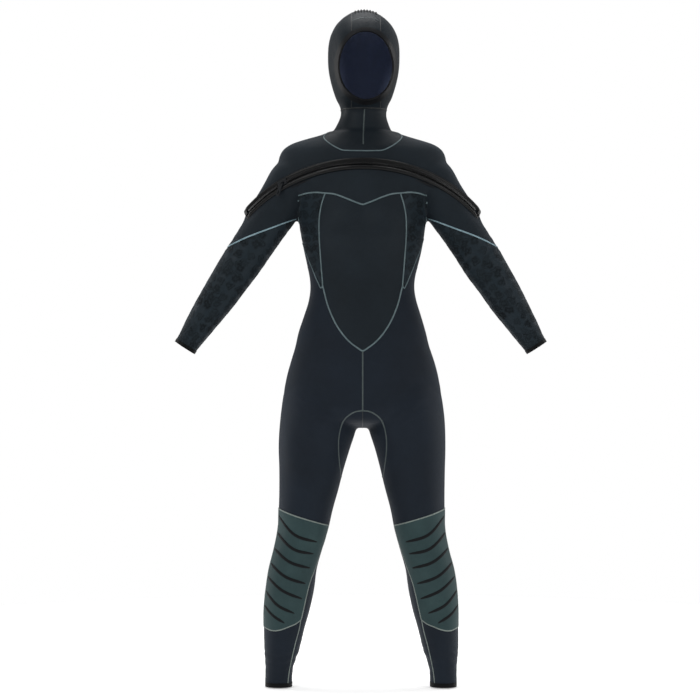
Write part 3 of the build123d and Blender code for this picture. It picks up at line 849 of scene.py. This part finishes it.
def even_path(points, normals, step):
    """The same path with even spacing, smoothed."""
    closed = np.allclose(points[0], points[-1])
    for _ in range(3):
        points = points.copy()
        if closed:
            core = points[:-1]
            core = core * 0.5 + (np.roll(core, 1, 0) + np.roll(core, -1, 0)) * 0.25
            points = np.vstack([core, core[:1]])
        else:
            points[1:-1] = points[1:-1] * 0.5 + (points[:-2] + points[2:]) * 0.25
    length = np.concatenate([[0], np.cumsum(np.linalg.norm(np.diff(points, axis=0), axis=1))])
    count = max(2, int(round(length[-1] / step)))
    at = np.linspace(0, length[-1], count + 1)
    p = np.column_stack([np.interp(at, length, points[:, i]) for i in range(3)])
    n = np.column_stack([np.interp(at, length, normals[:, i]) for i in range(3)])
    return p, unit(n), at, closed


SINK = 0.6  # mm that the edges of a strip reach into the skin


def strip_mesh(paths, half_width, height, step=2.6, taper=0.0, profile=7):
    """Low rounded strips lying on the skin along paths of (points, normals), in mm."""
    verts, faces, uvs = [], [], []
    for points, normals in paths:
        p, n, at, closed = even_path(points, normals, step)
        total = at[-1]
        if total < 3:
            continue
        along = np.gradient(p, axis=0)
        if closed:
            along[0] = along[-1] = p[1] - p[-2]
        across = unit(np.cross(n, unit(along)))
        faces += ring_faces(len(p), profile + 1, len(verts), capped=not closed)
        for i in range(len(p)):
            size = 1.0
            if taper and not closed:
                edge = min(at[i], total - at[i]) / (taper * total)
                size = 0.12 + 0.88 * math.sqrt(min(1.0, edge))
            for j in range(profile):
                angle = math.pi * j / (profile - 1)
                off = -math.cos(angle) * half_width * size
                up = (math.sin(angle) ** 0.8) * height * size - (0 if 0 < j < profile - 1 else SINK)
                verts.append(p[i] + across[i] * off + n[i] * up)
                uvs.append((at[i], off))
            verts.append(p[i] - n[i] * SINK * 1.6)
            uvs.append((at[i], 0.0))
    return np.array(verts), faces, np.array(uvs)


def strip_piece(name, paths, half_width, height, **options):
    """A piece of strips, or None if there is nothing to lay."""
    verts, faces, uvs = strip_mesh(paths, half_width, height, **options)
    if not len(verts):
        return None
    obj = new_object(name, settle(verts) * MM, faces)
    give_uv(obj, uvs)
    outward(obj)
    return obj


def give_uv(obj, uvs):
    layer = obj.data.uv_layers.new(name="UVMap")
    index = np.zeros(len(obj.data.loops), int)
    obj.data.loops.foreach_get("vertex_index", index)
    layer.data.foreach_set("uv", (uvs[index] * MM).ravel())


# --- Materials ---


class Nodes:
    """A material's shader nodes. A source is (node, name or number of its output)."""

    def __init__(self, name):
        self.material = bpy.data.materials.new(name)
        self.material.use_nodes = True
        self.tree = self.material.node_tree
        self.tree.nodes.clear()
        out = self.add("ShaderNodeOutputMaterial")
        self.shader = self.add("ShaderNodeBsdfPrincipled")
        self.feed((self.shader, "BSDF"), out, "Surface")
        self.place = self.add("ShaderNodeTexCoord")

    def add(self, kind, **values):
        """A node with its settings and unlinked inputs; an underscore in a name is a space."""
        node = self.tree.nodes.new(kind)
        for key, value in values.items():
            if hasattr(node, key):
                setattr(node, key, value)
            else:
                node.inputs[key.replace("_", " ")].default_value = value
        return node

    def feed(self, source, node, socket):
        self.tree.links.new(source[0].outputs[source[1]], node.inputs[socket])

    def set(self, **values):
        for key, value in values.items():
            self.shader.inputs[key.replace("_", " ")].default_value = value

    def math(self, operation, *values):
        node = self.add("ShaderNodeMath", operation=operation)
        for i, value in enumerate(values):
            if isinstance(value, tuple):
                self.feed(value, node, i)
            else:
                node.inputs[i].default_value = value
        return node, 0

    def scaled(self, source, gain, start):
        return self.math("ADD", self.math("MULTIPLY", source, gain), start)

    def mixed(self, a, share, b):
        """Source a with its share of 1, and source b with the rest."""
        return self.scaled(a, share, self.math("MULTIPLY", b, 1 - share))

    def texture(self, kind, output, **values):
        node = self.add("ShaderNodeTex" + kind, **values)
        self.feed((self.place, "Object"), node, "Vector")
        return node, output

    def noise(self, scale, detail=3.0, rough=0.55):
        return self.texture("Noise", "Fac", Scale=scale, Detail=detail, Roughness=rough)

    def colour(self, source, *stops):
        """Base colour from a source: (place from 0 to 1, colour) for each stop."""
        node = self.add("ShaderNodeValToRGB")
        elements = node.color_ramp.elements
        while len(elements) < len(stops):
            elements.new(0.5)
        for element, (at, colour) in zip(elements, stops):
            element.position = at
            element.color = (*colour, 1)
        self.feed(source, node, "Fac")
        self.feed((node, "Color"), self.shader, "Base Color")
        return node, "Color"

    def roughness(self, source, gain, start):
        self.feed(self.scaled(source, gain, start), self.shader, "Roughness")

    def bumps(self, *layers):
        """Bumps one on another, the broadest first: source, strength, distance in metres."""
        below = None
        for source, strength, distance in layers:
            node = self.add("ShaderNodeBump", Strength=strength, Distance=distance)
            self.feed(source, node, "Height")
            if below:
                self.feed((below, "Normal"), node, "Normal")
            below = node
        self.feed((below, "Normal"), self.shader, "Normal")


def grey(value, tint=(1, 1, 1)):
    return tuple(value * t for t in tint)


def neoprene(name, base, lift, rough=0.62, sheen=0.05, tint=(0.60, 0.90, 1.20), knit=900.0):
    """Knit-faced neoprene: dark dyed jersey with a fine rib, faint mottling and lighter fuzz."""
    n = Nodes(name)
    cloudy = n.noise(9, 4, 0.6)
    n.colour(n.mixed(cloudy, 0.7, n.noise(420, 2, 0.7)), (0.30, grey(base, tint)),
             (0.55, grey((base + lift) / 2, tint)), (0.78, grey(lift, tint)))
    n.roughness(cloudy, 0.16, rough - 0.08)
    slant = n.texture("Wave", "Fac", bands_direction="DIAGONAL", Scale=knit * 0.33, Distortion=0.6)
    level = n.texture("Wave", "Fac", bands_direction="Z", Scale=knit * 0.5, Distortion=0.8)
    n.bumps((n.noise(34, 3, 0.5), 0.25, 0.0016), (n.math("MULTIPLY", slant, level), 0.35, 0.00035))
    n.set(Sheen_Weight=sheen, Sheen_Roughness=0.45, Sheen_Tint=(0.72, 0.82, 1.0, 1),
          Specular_IOR_Level=0.10)
    return n.material


def glide_skin(name, base=0.005, rough=0.4):
    """Smooth glossy neoprene with a faint leathery grain."""
    n = Nodes(name)
    cloudy = n.noise(14, 4, 0.6)
    n.colour(cloudy, (0.3, grey(base, (0.9, 0.95, 1.1))), (0.75, grey(base * 2.1, (0.9, 0.96, 1.12))))
    n.roughness(cloudy, 0.2, rough - 0.08)
    cells = n.texture("Voronoi", "Distance", feature="DISTANCE_TO_EDGE", Scale=900)
    n.bumps((n.noise(46, 3), 0.22, 0.0012), (cells, 0.12, 0.0003))
    n.set(Specular_IOR_Level=0.12)
    return n.material


def embossed(name):
    """Velvet-faced neoprene pressed with flowers: the pressed ground is smoother than the pile."""
    n = Nodes(name)
    height = n.add("ShaderNodeAttribute", attribute_name="emboss"), "Fac"
    n.colour(n.mixed(height, 0.72, n.noise(620, 2, 0.7)), (0.12, (0.0125, 0.0190, 0.0245)),
             (0.42, (0.0085, 0.0130, 0.0165)), (0.85, (0.0022, 0.0032, 0.0040)))
    n.roughness(height, 0.38, 0.46)
    n.bumps((n.noise(34, 3, 0.5), 0.2, 0.0012), (n.noise(1500, 2, 0.7), 0.3, 0.0004))
    n.set(Sheen_Weight=0.03, Sheen_Roughness=0.4, Sheen_Tint=(0.75, 0.85, 1.0, 1),
          Specular_IOR_Level=0.09)
    return n.material


def pad_rubber(name):
    """Abrasion-proof printed knee neoprene: green-grey with a fine raised dot print."""
    n = Nodes(name)
    cloudy = n.noise(16, 4, 0.6)
    n.colour(n.mixed(cloudy, 0.7, n.noise(500, 2, 0.7)), (0.3, (0.017, 0.033, 0.035)),
             (0.55, (0.023, 0.043, 0.045)), (0.8, (0.034, 0.060, 0.060)))
    n.roughness(cloudy, 0.2, 0.5)
    dots = n.texture("Voronoi", "Distance", feature="F1", Scale=520, Randomness=0.25)
    n.bumps((n.noise(40, 3, 0.5), 0.25, 0.0014), (dots, 0.4, 0.0004))
    n.set(Sheen_Weight=0.03, Sheen_Roughness=0.5, Sheen_Tint=(0.8, 0.95, 0.95, 1),
          Specular_IOR_Level=0.12)
    return n.material


def stitched(name, low, high, rough=0.5):
    """Seam tape with a zigzag of thread across it, which needs the strip's own UVs, in metres."""
    n = Nodes(name)
    split = n.add("ShaderNodeSeparateXYZ")
    n.feed((n.add("ShaderNodeUVMap", uv_map="UVMap"), "UV"), split, "Vector")
    zigzag = n.scaled(n.math("PINGPONG", (split, "X"), 0.0021), 1.9, -0.0020)
    thread = n.math("LESS_THAN", n.math("ABSOLUTE", n.math("SUBTRACT", zigzag, (split, "Y"))), 0.00038)
    cloudy = n.noise(60, 3, 0.6)
    between = tuple((a + b) / 2 for a, b in zip(low, high))
    n.colour(n.mixed(thread, 0.35, cloudy), (0.15, low), (0.55, between), (0.85, high))
    n.roughness(cloudy, 0.15, rough - 0.07)
    n.bumps((n.noise(1200, 2), 0.2, 0.0003), (thread, 0.6, 0.0003))
    n.set(Sheen_Weight=0.05, Sheen_Roughness=0.35, Specular_IOR_Level=0.4)
    return n.material


def moulded(name, base, rough, scale=120.0, tint=(0.8, 0.95, 1.15), gloss=0.3):
    """Moulded plastic or rubber with slight flow marks and scuffs."""
    n = Nodes(name)
    marks = n.noise(scale, 5, 0.65)
    n.colour(marks, (0.3, grey(base * 0.7, tint)), (0.6, grey(base, tint)), (0.82, grey(base * 1.8, tint)))
    n.roughness(marks, 0.22, rough - 0.1)
    n.bumps((n.noise(scale * 7, 3), 0.15, 0.0004))
    n.set(Specular_IOR_Level=gloss)
    return n.material


def studio_grey(name):
    """Pale floor that glows a little, so that the suit's shadow on it stays light."""
    n = Nodes(name)
    shade = n.colour(n.noise(3, 2, 0.5), (0.2, grey(0.86)), (0.8, grey(0.9)))
    n.feed(shade, n.shader, "Emission Color")
    n.set(Roughness=0.9, Specular_IOR_Level=0.1, Emission_Strength=0.42)
    return n.material


MATERIALS = {
    "jersey": neoprene("jersey", 0.0105, 0.0185),
    "jersey_leg": neoprene("jersey_leg", 0.0100, 0.0180, tint=(0.55, 0.84, 1.3)),
    "jersey_hood": neoprene("jersey_hood", 0.0085, 0.0150, rough=0.45, sheen=0.02),
    "velvet": embossed("velvet"),
    "glide": glide_skin("glide"),
    "pad": pad_rubber("pad"),
    "rib": moulded("rib", 0.0050, 0.62, gloss=0.12),
    "piping": stitched("piping", (0.045, 0.075, 0.082), (0.16, 0.22, 0.235)),
    # The teal piping made lighter: a painted highlight, for the sleeve seam
    "piping_bright": stitched("piping_bright", (0.10, 0.17, 0.20), (0.34, 0.47, 0.53), 0.38),
    "piping_knee": stitched("piping_knee", (0.085, 0.105, 0.098), (0.26, 0.31, 0.28)),
    # The teal piping made darker: painted shade, for seams in the crotch, under the chin and at the brow
    "piping_dim": stitched("piping_dim", (0.022, 0.032, 0.033), (0.075, 0.10, 0.10)),
    "thread": stitched("thread", (0.003, 0.0042, 0.005), (0.010, 0.013, 0.015)),
    "lining": neoprene("lining", 0.20, 0.28, tint=(0.72, 0.86, 1.3), knit=500.0),
    "band": moulded("band", 0.0022, 0.5, gloss=0.10),
    "seal": glide_skin("seal", 0.007, 0.42),
    "tape": moulded("tape", 0.0015, 0.36, 260.0, gloss=0.22),
    "teeth": moulded("teeth", 0.0026, 0.3, 300.0, gloss=0.4),
    "slider": moulded("slider", 0.010, 0.26, 200.0),
    "floor": studio_grey("floor"),
}

# Material and slot of each kind of panel; a kind that isn't named has the last line's
PANEL_LOOK = {"face_rim": ("glide", "smooth_neoprene"), "knee_pad": ("pad", "pad_rubber")}
for look, slot, kinds in (
        ("jersey_hood", "nylon_neoprene", "collar hood hood_crown hood_chin hood_brow"),
        ("velvet", "embossed_neoprene", "forearm side_chest"),
        ("band", "rib_print", "wrist_cuff ankle_cuff"),
        ("jersey_leg", "nylon_neoprene", "seat front_side gusset knee_back calf shin_front")):
    PANEL_LOOK.update(dict.fromkeys(kinds.split(), (look, slot)))
OTHER_PANELS = ("jersey", "nylon_neoprene")


def fit(obj, look, slot, place, *nodes):
    """Gives a piece its material and its body, or bakes it in place at a bend, and hides the CAD nodes it
    stands for.
    """
    obj.data.materials.clear()
    obj.data.materials.append(MATERIALS[look])
    attach(obj, place)
    if nodes:
        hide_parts(*nodes)


def family(label):
    """A panel's name without its side."""
    name, _, side = label.rpartition("_")
    return name if side in SIDES else label


def store_blooms(obj, pattern):
    """Keeps the emboss height, 0 to 1, for the velvet's shader."""
    points = np.zeros(len(obj.data.vertices) * 3)
    obj.data.vertices.foreach_get("co", points)
    height = pattern(points.reshape(-1, 3) / MM)
    attribute = obj.data.attributes.new("emboss", "FLOAT", "POINT")
    attribute.data.foreach_set("value", height.astype(np.float32))


def make_panels(v, tris, label, normals):
    for name in sorted(set(label)):
        kind = family(name)
        pattern = BLOOMS.get(kind)
        options = {"thick": THICK}
        if pattern:
            options.update(refine=1, height=lambda p: (pattern(p) - 0.5) * EMBOSS)
        if kind == "knee_pad":
            options.update(lift=PAD_LIFT)
        if kind in ("wrist_cuff", "ankle_cuff"):
            options.update(lift=CUFF_LIFT, thick=CUFF_THICK)
        obj = shell(name, v, tris[label == name], normals, **options)
        if pattern:
            store_blooms(obj, pattern)
        look, slot = PANEL_LOOK.get(kind, OTHER_PANELS)
        obj.data.materials[0] = MATERIALS[look]
        obj.data.materials[1] = MATERIALS["lining"]
        attach(obj, panel_place(name))
        nodes = replaced_nodes(name)
        if nodes:
            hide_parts(*nodes)


# Two neighbours, the seam they share, its piping, and the piping's half width and height in mm
PIPED = [
    ({"bodice_centre", "side_chest"}, "princess", "piping", 1.9, 1.1),
    ({"bodice_centre", "chest_upper"}, "sweetheart", "piping", 2.0, 1.2),
    ({"side_chest", "chest_upper"}, "sweetheart", "piping", 2.0, 1.2),
    ({"side_chest", "front_side"}, "side_seam", "piping", 1.5, 0.9),
    ({"side_chest", "upper_sleeve"}, "sweetheart", "thread", 1.0, 0.5),
    ({"bodice_centre", "front_side"}, "vee", "piping", 2.0, 1.2),
    # The gusset seam's piping carries painted shade
    ({"gusset", "front_side"}, "gusset_seam", "piping_dim", 1.9, 0.8),
    ({"gusset", "seat"}, "gusset_seam", "thread", 1.2, 0.6),
    # The sleeve seam's piping carries a painted highlight
    ({"forearm", "upper_sleeve"}, "sleeve_seam", "piping_bright", 2.0, 1.1),
    ({"knee_pad", "front_side"}, "knee_top", "piping_knee", 1.6, 1.0),
    ({"knee_pad", "knee_back"}, "knee_side", "piping_knee", 1.8, 1.0),
    ({"knee_pad", "calf"}, "knee_side", "piping_knee", 1.8, 1.0),
    ({"knee_pad", "shin_front"}, "knee_low", "piping_knee", 1.6, 1.0),
    ({"shin_front", "calf"}, "shin_seam", "piping_knee", 1.4, 0.8),
    ({"collar", "yoke_front"}, "collar_seam", "piping", 1.5, 0.9),
    ({"collar", "yoke_back"}, "collar_seam", "thread", 1.5, 0.9),
    ({"hood", "hood_brow"}, "hood_seam", "thread", 1.2, 0.6),
    ({"hood", "hood_crown"}, "hood_seam", "thread", 1.2, 0.6),
    # The brow seam's piping carries painted shade
    ({"hood_brow", "hood_crown"}, "brow_seam", "piping_dim", 1.2, 0.5),
    ({"hood", "hood_chin"}, "hood_seam", "thread", 1.2, 0.6),
    ({"collar", "hood"}, "neck_seam", "thread", 1.8, 1.0),
    ({"collar", "hood_chin"}, "neck_seam", "thread", 1.8, 1.0),
    ({"collar", "hood_crown"}, "neck_seam", "thread", 1.8, 1.0),
    ({"yoke_back", "back_upper"}, "back_seam", "piping", 1.5, 0.9),
    ({"back_upper", "back_lumbar"}, "lumbar_seam", "piping", 1.5, 0.9),
    ({"back_lumbar", "seat"}, "seat_seam", "piping", 1.5, 0.9),
]
SWEETHEART_END = 151.4  # distance from the middle where its piping stops, at the sleeve
PIPING_ON_PAD = 0.72  # mm that the piping round a knee pad is raised
PIPING_PLACES = {
    "princess": "torso", "sweetheart": "torso", "side_seam": "torso", "vee": "torso",
    "collar_seam": "torso", "back_seam": "torso", "lumbar_seam": "torso", "seat_seam": "torso",
    "hood_seam": "hood", "brow_seam": "hood", "neck_seam": "hood",
}


def piping_place(name, side):
    if name in PIPING_PLACES:
        return PIPING_PLACES[name]
    if name in ("gusset_seam", "knee_top", "centre_seam"):
        return hips(side)
    return elbows(side) if name == "sleeve_seam" else knees(side)


def seam_edges(v, tris, label):
    """Edges of each piped seam, by (seam, piping, half width, height, side)."""
    half = np.vstack([tris[:, [0, 1]], tris[:, [1, 2]], tris[:, [2, 0]]])
    owner = np.tile(np.arange(len(tris)), 3)
    key = np.sort(half, axis=1)
    order = np.lexsort((key[:, 1], key[:, 0]))
    key, owner = key[order], owner[order]
    same = (key[:-1] == key[1:]).all(1)
    pairs = key[:-1][same]
    one, two = label[owner[:-1][same]], label[owner[1:][same]]
    differ = one != two
    kinds = {name: family(name) for name in set(label)}
    look_up = {frozenset(k): rest for k, *rest in PIPED}
    found = {}
    for (a, b), p, q in zip(pairs[differ], one[differ], two[differ]):
        both = {kinds[p], kinds[q]}
        rest = look_up.get(frozenset(both))
        side = "left" if v[a][0] + v[b][0] > 0 else "right"
        if rest is None and both == {"front_side"} and v[a][1] < 0:
            # Centre seam piping, darkened as painted shade
            rest = ["centre_seam", "piping_dim", 1.9, 0.8]
        if rest is None and both == {"gusset"} and v[a][1] < 0:
            rest = ["centre_seam", "thread", 1.0, 0.5]
        if rest is None or (rest[0] == "sweetheart" and abs(v[a][0]) > SWEETHEART_END):
            continue
        if rest[0] == "centre_seam":
            side = "left"
        found.setdefault((*rest, side), []).append((int(a), int(b)))
    return found


def make_piping(v, tris, label, normals):
    for (seam_name, look, half_width, height, side), edges in sorted(seam_edges(v, tris, label).items()):
        lift = PIPING_ON_PAD if seam_name.startswith("knee") else 0.0
        paths = [(v[c] + normals[c] * lift, normals[c]) for c in chains(edges)]
        obj = strip_piece(f"{seam_name}_{look}_{side}", paths, half_width, height)
        if obj:
            fit(obj, look, "nylon_neoprene", piping_place(seam_name, side))


# --- Things laid on the skin ---


def surface_path(tree, points, direction):
    """Points dropped onto the skin along a direction, with the skin's normals there."""
    got, normals = [], []
    for p in points:
        place, normal, _, _ = tree.ray_cast(Vector(p - np.array(direction) * 400), Vector(direction))
        if place is not None:
            got.append(np.array(place))
            normals.append(np.array(normal))
    return np.array(got), np.array(normals)


KNEE_RIBS = [  # inner end, middle and outer end of each rib: distance from the middle, height
    ((105, 349), (156, 366), (200, 414)),
    ((113, 321), (158, 332), (205, 375)),
    ((121, 287), (168, 302), (215, 340)),
    ((132, 250), (180, 268), (223, 305)),
    ((140, 214), (187, 235), (229, 272)),
    ((158, 180), (197, 199), (231, 236)),
    ((181, 157), (212, 177), (231, 198)),
]


def make_ribs(tree):
    for s, k in SIDES.items():
        paths = []
        for inner, middle, outer in KNEE_RIBS:
            line = smooth_line([inner, middle, outer], 2.5)
            p, n = surface_path(tree, [(k * x, 0.0, z) for x, z in line], (0, 1, 0))
            paths.append((p + n * PAD_LIFT, n))
        obj = strip_piece(f"knee_ribs_{s}", paths, 3.6, 1.5, taper=0.2, profile=9)
        fit(obj, "rib", "rib_print", knees(s), f"knee_ribs_{s}")


def make_crown_ribs(tree):
    paths = []
    for number in range(8):
        x = (number - 3.5) * 7.0 + 4.5
        across = [(x, y, 1700.0) for y in np.arange(-52, 46, 2.5)]
        paths.append(surface_path(tree, across, (0, 0, -1)))
    obj = strip_piece("crown_ribs", paths, 2.1, 2.2, taper=0.14, step=2.0)
    fit(obj, "rib", "rib_print", "hood", "crown_ribs")


def make_collar_seam(tree):
    points = [(1.5, 0.0, z) for z in np.arange(1287, 1373, 2.5)]
    obj = strip_piece("collar_front_seam", [surface_path(tree, points, (0, 1, 0))], 1.6, 0.5)
    # Collar seam piping, darkened as painted shade
    fit(obj, "piping_dim", "nylon_neoprene", NECK)


def zip_piece(obj, look, slot, node):
    """A closed piece of the zip, which stands for the CAD node of the same name."""
    outward(obj)
    fit(obj, look, slot, "torso", node)


def band_along_zip(name, profile, span, look, slot):
    """Closed band whose section (x to the upper side, y outwards) follows the zip."""
    turns = np.arange(-span, span + 0.5, 1.0)
    low = min(y for _, y in profile)
    rings = []
    for turn in turns:
        size = min(1.0, 0.25 + (span - abs(turn)) / 3.0)
        rings.append([zip_point(turn, x, low + (y - low) * size) * MM for x, y in profile])
    zip_piece(ring_solid(name, rings), look, slot, name)


def rounded_block(turn, size, middle, bevel):
    """Points of a block with cut edges, in the zip's own directions: four rings of eight."""
    (sx, sy, sz), (mx, my, mz) = size, middle
    per_mm = math.degrees(1 / ZIP_R)
    verts = []
    for along, inset in ((-sz / 2, bevel), (-sz / 2 + bevel, 0), (sz / 2 - bevel, 0), (sz / 2, bevel)):
        a, b = sx / 2 - inset, sy / 2 - inset
        c = bevel * 0.9
        for x, y in ((-a + c, -b), (a - c, -b), (a, -b + c), (a, b - c),
                     (a - c, b), (-a + c, b), (-a, b - c), (-a, -b + c)):
            verts.append(zip_point(turn + (mz + along) * per_mm, mx + x, my + y))
    return verts


def zip_blocks(name, blocks, look, slot):
    """Blocks along the zip as one piece: turn, size, middle and bevel of each."""
    verts, faces = [], []
    for block in blocks:
        faces += ring_faces(4, 8, len(verts))
        verts += rounded_block(*block)
    zip_piece(new_object(name, np.array(verts) * MM, faces, smooth=False), look, slot, name)


TOOTH_PITCH = math.degrees(3.4 / ZIP_R)
TOOTH_START = ZIP_SPAN - 2.5


def make_zip():
    ridge = [(3.0, 0.6), (6.6, 0.8), (7.6, 2.2), (9.0, 3.6), (11.0, 4.1), (13.2, 3.6), (14.8, 2.0),
             (15.8, 0.3), (16.4, -1.8), (3.0, -1.8)]
    flap = [(-18, -6.5), (18, -6.5), (18, -8.2), (-18, -8.2)]
    band_along_zip("zip_tape_upper", ridge, ZIP_SPAN, "tape", "zip_tape")
    band_along_zip("zip_tape_lower", [(-x, y) for x, y in ridge], ZIP_SPAN, "tape", "zip_tape")
    band_along_zip("zip_underlap", flap, ZIP_SPAN - 1, "seal", "seal_neoprene")
    for name, low, high, shift in (("upper", -1.2, 3.6, 0.0), ("lower", -3.6, 1.2, 0.5)):
        size, middle = (high - low, 2.6, 1.5), ((low + high) / 2, 0.9, 0)
        teeth = [(-TOOTH_START + (i + shift) * TOOTH_PITCH, size, middle, 0.35)
                 for i in range(int(2 * TOOTH_START / TOOTH_PITCH))]
        zip_blocks(f"zip_teeth_{name}", teeth, "teeth", "zip_teeth")
    for s, k in SIDES.items():
        end = k * (ZIP_SPAN - 1)
        zip_blocks(f"zip_stop_{s}", [(end, (13, 3.6, 8), (0, 2.6, 0), 0.9),
                                     (end, (20, 2.4, 4), (0, 1.4, 2.0 * k), 0.8)], "tape", "zip_metal")


# --- Inner seals ---


SEAL = 1.6  # thickness in mm
SEAL_INSET = 6.4  # from the suit's outside to a wrist or ankle seal, in mm


def inner_tube(name, rings, place):
    """Thin open tube through rings of points, given in mm, with its own wall."""
    count = len(rings[0])
    outer = np.vstack(rings)
    centre = np.vstack([np.repeat(r.mean(0)[None], count, 0) for r in rings])
    inner = outer + unit(centre - outer) * SEAL
    total, last = len(outer), len(outer) - count
    faces = ring_faces(len(rings), count, capped=False)
    faces += [tuple(i + total for i in face[::-1]) for face in faces]
    for j in range(count):
        k = (j + 1) % count
        faces.append((k, j, j + total, k + total))
        faces.append((last + j, last + k, last + k + total, last + j + total))
    obj = new_object(name, settle(np.vstack([outer, inner])) * MM, faces)
    outward(obj)
    fit(obj, "seal", "seal_neoprene", place, name)


def rows_at(rows, heights):
    """Rows of numbers filled in at some heights."""
    fine = smooth_rows(rows, 4)
    return np.column_stack([heights] + [np.interp(heights, fine[:, 0], column) for column in fine.T[1:]])


def make_seals():
    low = np.linspace(3, 46, 9)
    for s, k in SIDES.items():
        rings = []
        for up, a, d in rows_at(ARM, low) - [0, SEAL_INSET, SEAL_INSET]:
            middle, across, _ = arm_frame(k, up)
            rings.append(oval(middle, across, Y, a, d, d, 48))
        inner_tube(f"wrist_seal_{s}", rings, f"forearm_{s}")
        rows = rows_at(LEG, low) - [0, 0, SEAL_INSET, SEAL_INSET, 0]
        inner_tube(f"ankle_seal_{s}", [oval(np.array([k * x, y, z]), X, Y, a, d, d, 48)
                                       for z, x, a, d, y in rows], f"shin_{s}")
    rows = rows_at(HEAD, np.linspace(1322, 1370, 9)) - [0, 7, 7, 0]
    inner_tube("neck_seal", [oval(np.array([0, y, z]), X, Y, a, d, d, 48) for z, a, d, y in rows], NECK)


# --- Camera, light and floor ---

VIEW_WIDTH = 1.6625  # metres across the picture at the suit
VIEW_MIDDLE = (-0.0297, 0.8028)
CAMERA_AWAY = 5.6
FLOOR_RADIUS = 2.1
# name, width and height, power, place, and the height on the suit that it points at
LAMPS = [
    ("key", (1.6, 2.2), 80, (-2.6, -3.2, 2.9), 0.9),
    ("fill", (1.6, 2.2), 55, (2.9, -3.0, 1.9), 0.8),
    ("rim_left", (0.8, 2.6), 30, (-2.7, 1.0, 1.2), 0.9),
    ("rim_right", (0.8, 2.6), 30, (2.7, 1.0, 1.2), 0.9),
    ("top", (2.0, 2.0), 60, (0, 0.6, 3.6), 0.9),
]


def make_studio():
    camera_data = bpy.data.cameras.new("camera")
    camera_data.sensor_width = 36
    camera_data.lens = 36 * (CAMERA_AWAY - 0.02) / VIEW_WIDTH
    camera = bpy.data.objects.new("camera", camera_data)
    camera.location = (VIEW_MIDDLE[0], -CAMERA_AWAY, VIEW_MIDDLE[1])
    camera.rotation_euler = (math.radians(90), 0, 0)
    bpy.context.scene.collection.objects.link(camera)
    bpy.context.scene.camera = camera

    turns = np.linspace(0, 2 * math.pi, 64, endpoint=False)
    rim = [(FLOOR_RADIUS * math.cos(a), FLOOR_RADIUS * math.sin(a), -0.002) for a in turns]
    floor = new_object("floor", rim, [tuple(range(64))])
    floor.data.materials.append(MATERIALS["floor"])

    # White behind the suit, and softer as a light on it
    world = bpy.data.worlds.new("studio")
    world.use_nodes = True
    nodes, links = world.node_tree.nodes, world.node_tree.links
    seen = nodes.new("ShaderNodeLightPath")
    strength = nodes.new("ShaderNodeMapRange")
    strength.inputs["To Min"].default_value = 0.34
    strength.inputs["To Max"].default_value = 1.0
    links.new(seen.outputs["Is Camera Ray"], strength.inputs["Value"])
    links.new(strength.outputs["Result"], nodes["Background"].inputs["Strength"])
    nodes["Background"].inputs["Color"].default_value = (1.0, 1.0, 1.0, 1)
    bpy.context.scene.world = world
    bpy.context.scene.view_settings.view_transform = "Standard"

    for name, size, power, place, aim_height in LAMPS:
        data = bpy.data.lights.new(name, "AREA")
        data.shape = "RECTANGLE"
        data.size, data.size_y = size
        data.energy = power
        lamp = bpy.data.objects.new(name, data)
        lamp.location = place
        aim = Vector((0, 0, aim_height)) - Vector(place)
        lamp.rotation_euler = aim.to_track_quat("-Z", "Y").to_euler()
        bpy.context.scene.collection.objects.link(lamp)


def finish_cad_nodes():
    """The slider's and pull's CAD pieces stay, in moulded plastic."""
    for name in ("zip_slider", "zip_pull"):
        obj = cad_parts[name]
        obj.data.materials.clear()
        obj.data.materials.append(MATERIALS["slider"])


make_studio()
skin, skin_faces, skin_labels = cut_skin()
skin_normals = normals_of(skin, skin_faces)
make_panels(skin, skin_faces, skin_labels, skin_normals)
make_piping(skin, skin_faces, skin_labels, skin_normals)
skin_tree = BVHTree.FromPolygons([tuple(p) for p in skin], [tuple(f) for f in skin_faces.tolist()])
make_ribs(skin_tree)
make_crown_ribs(skin_tree)
make_collar_seam(skin_tree)
make_zip()
make_seals()
finish_cad_nodes()
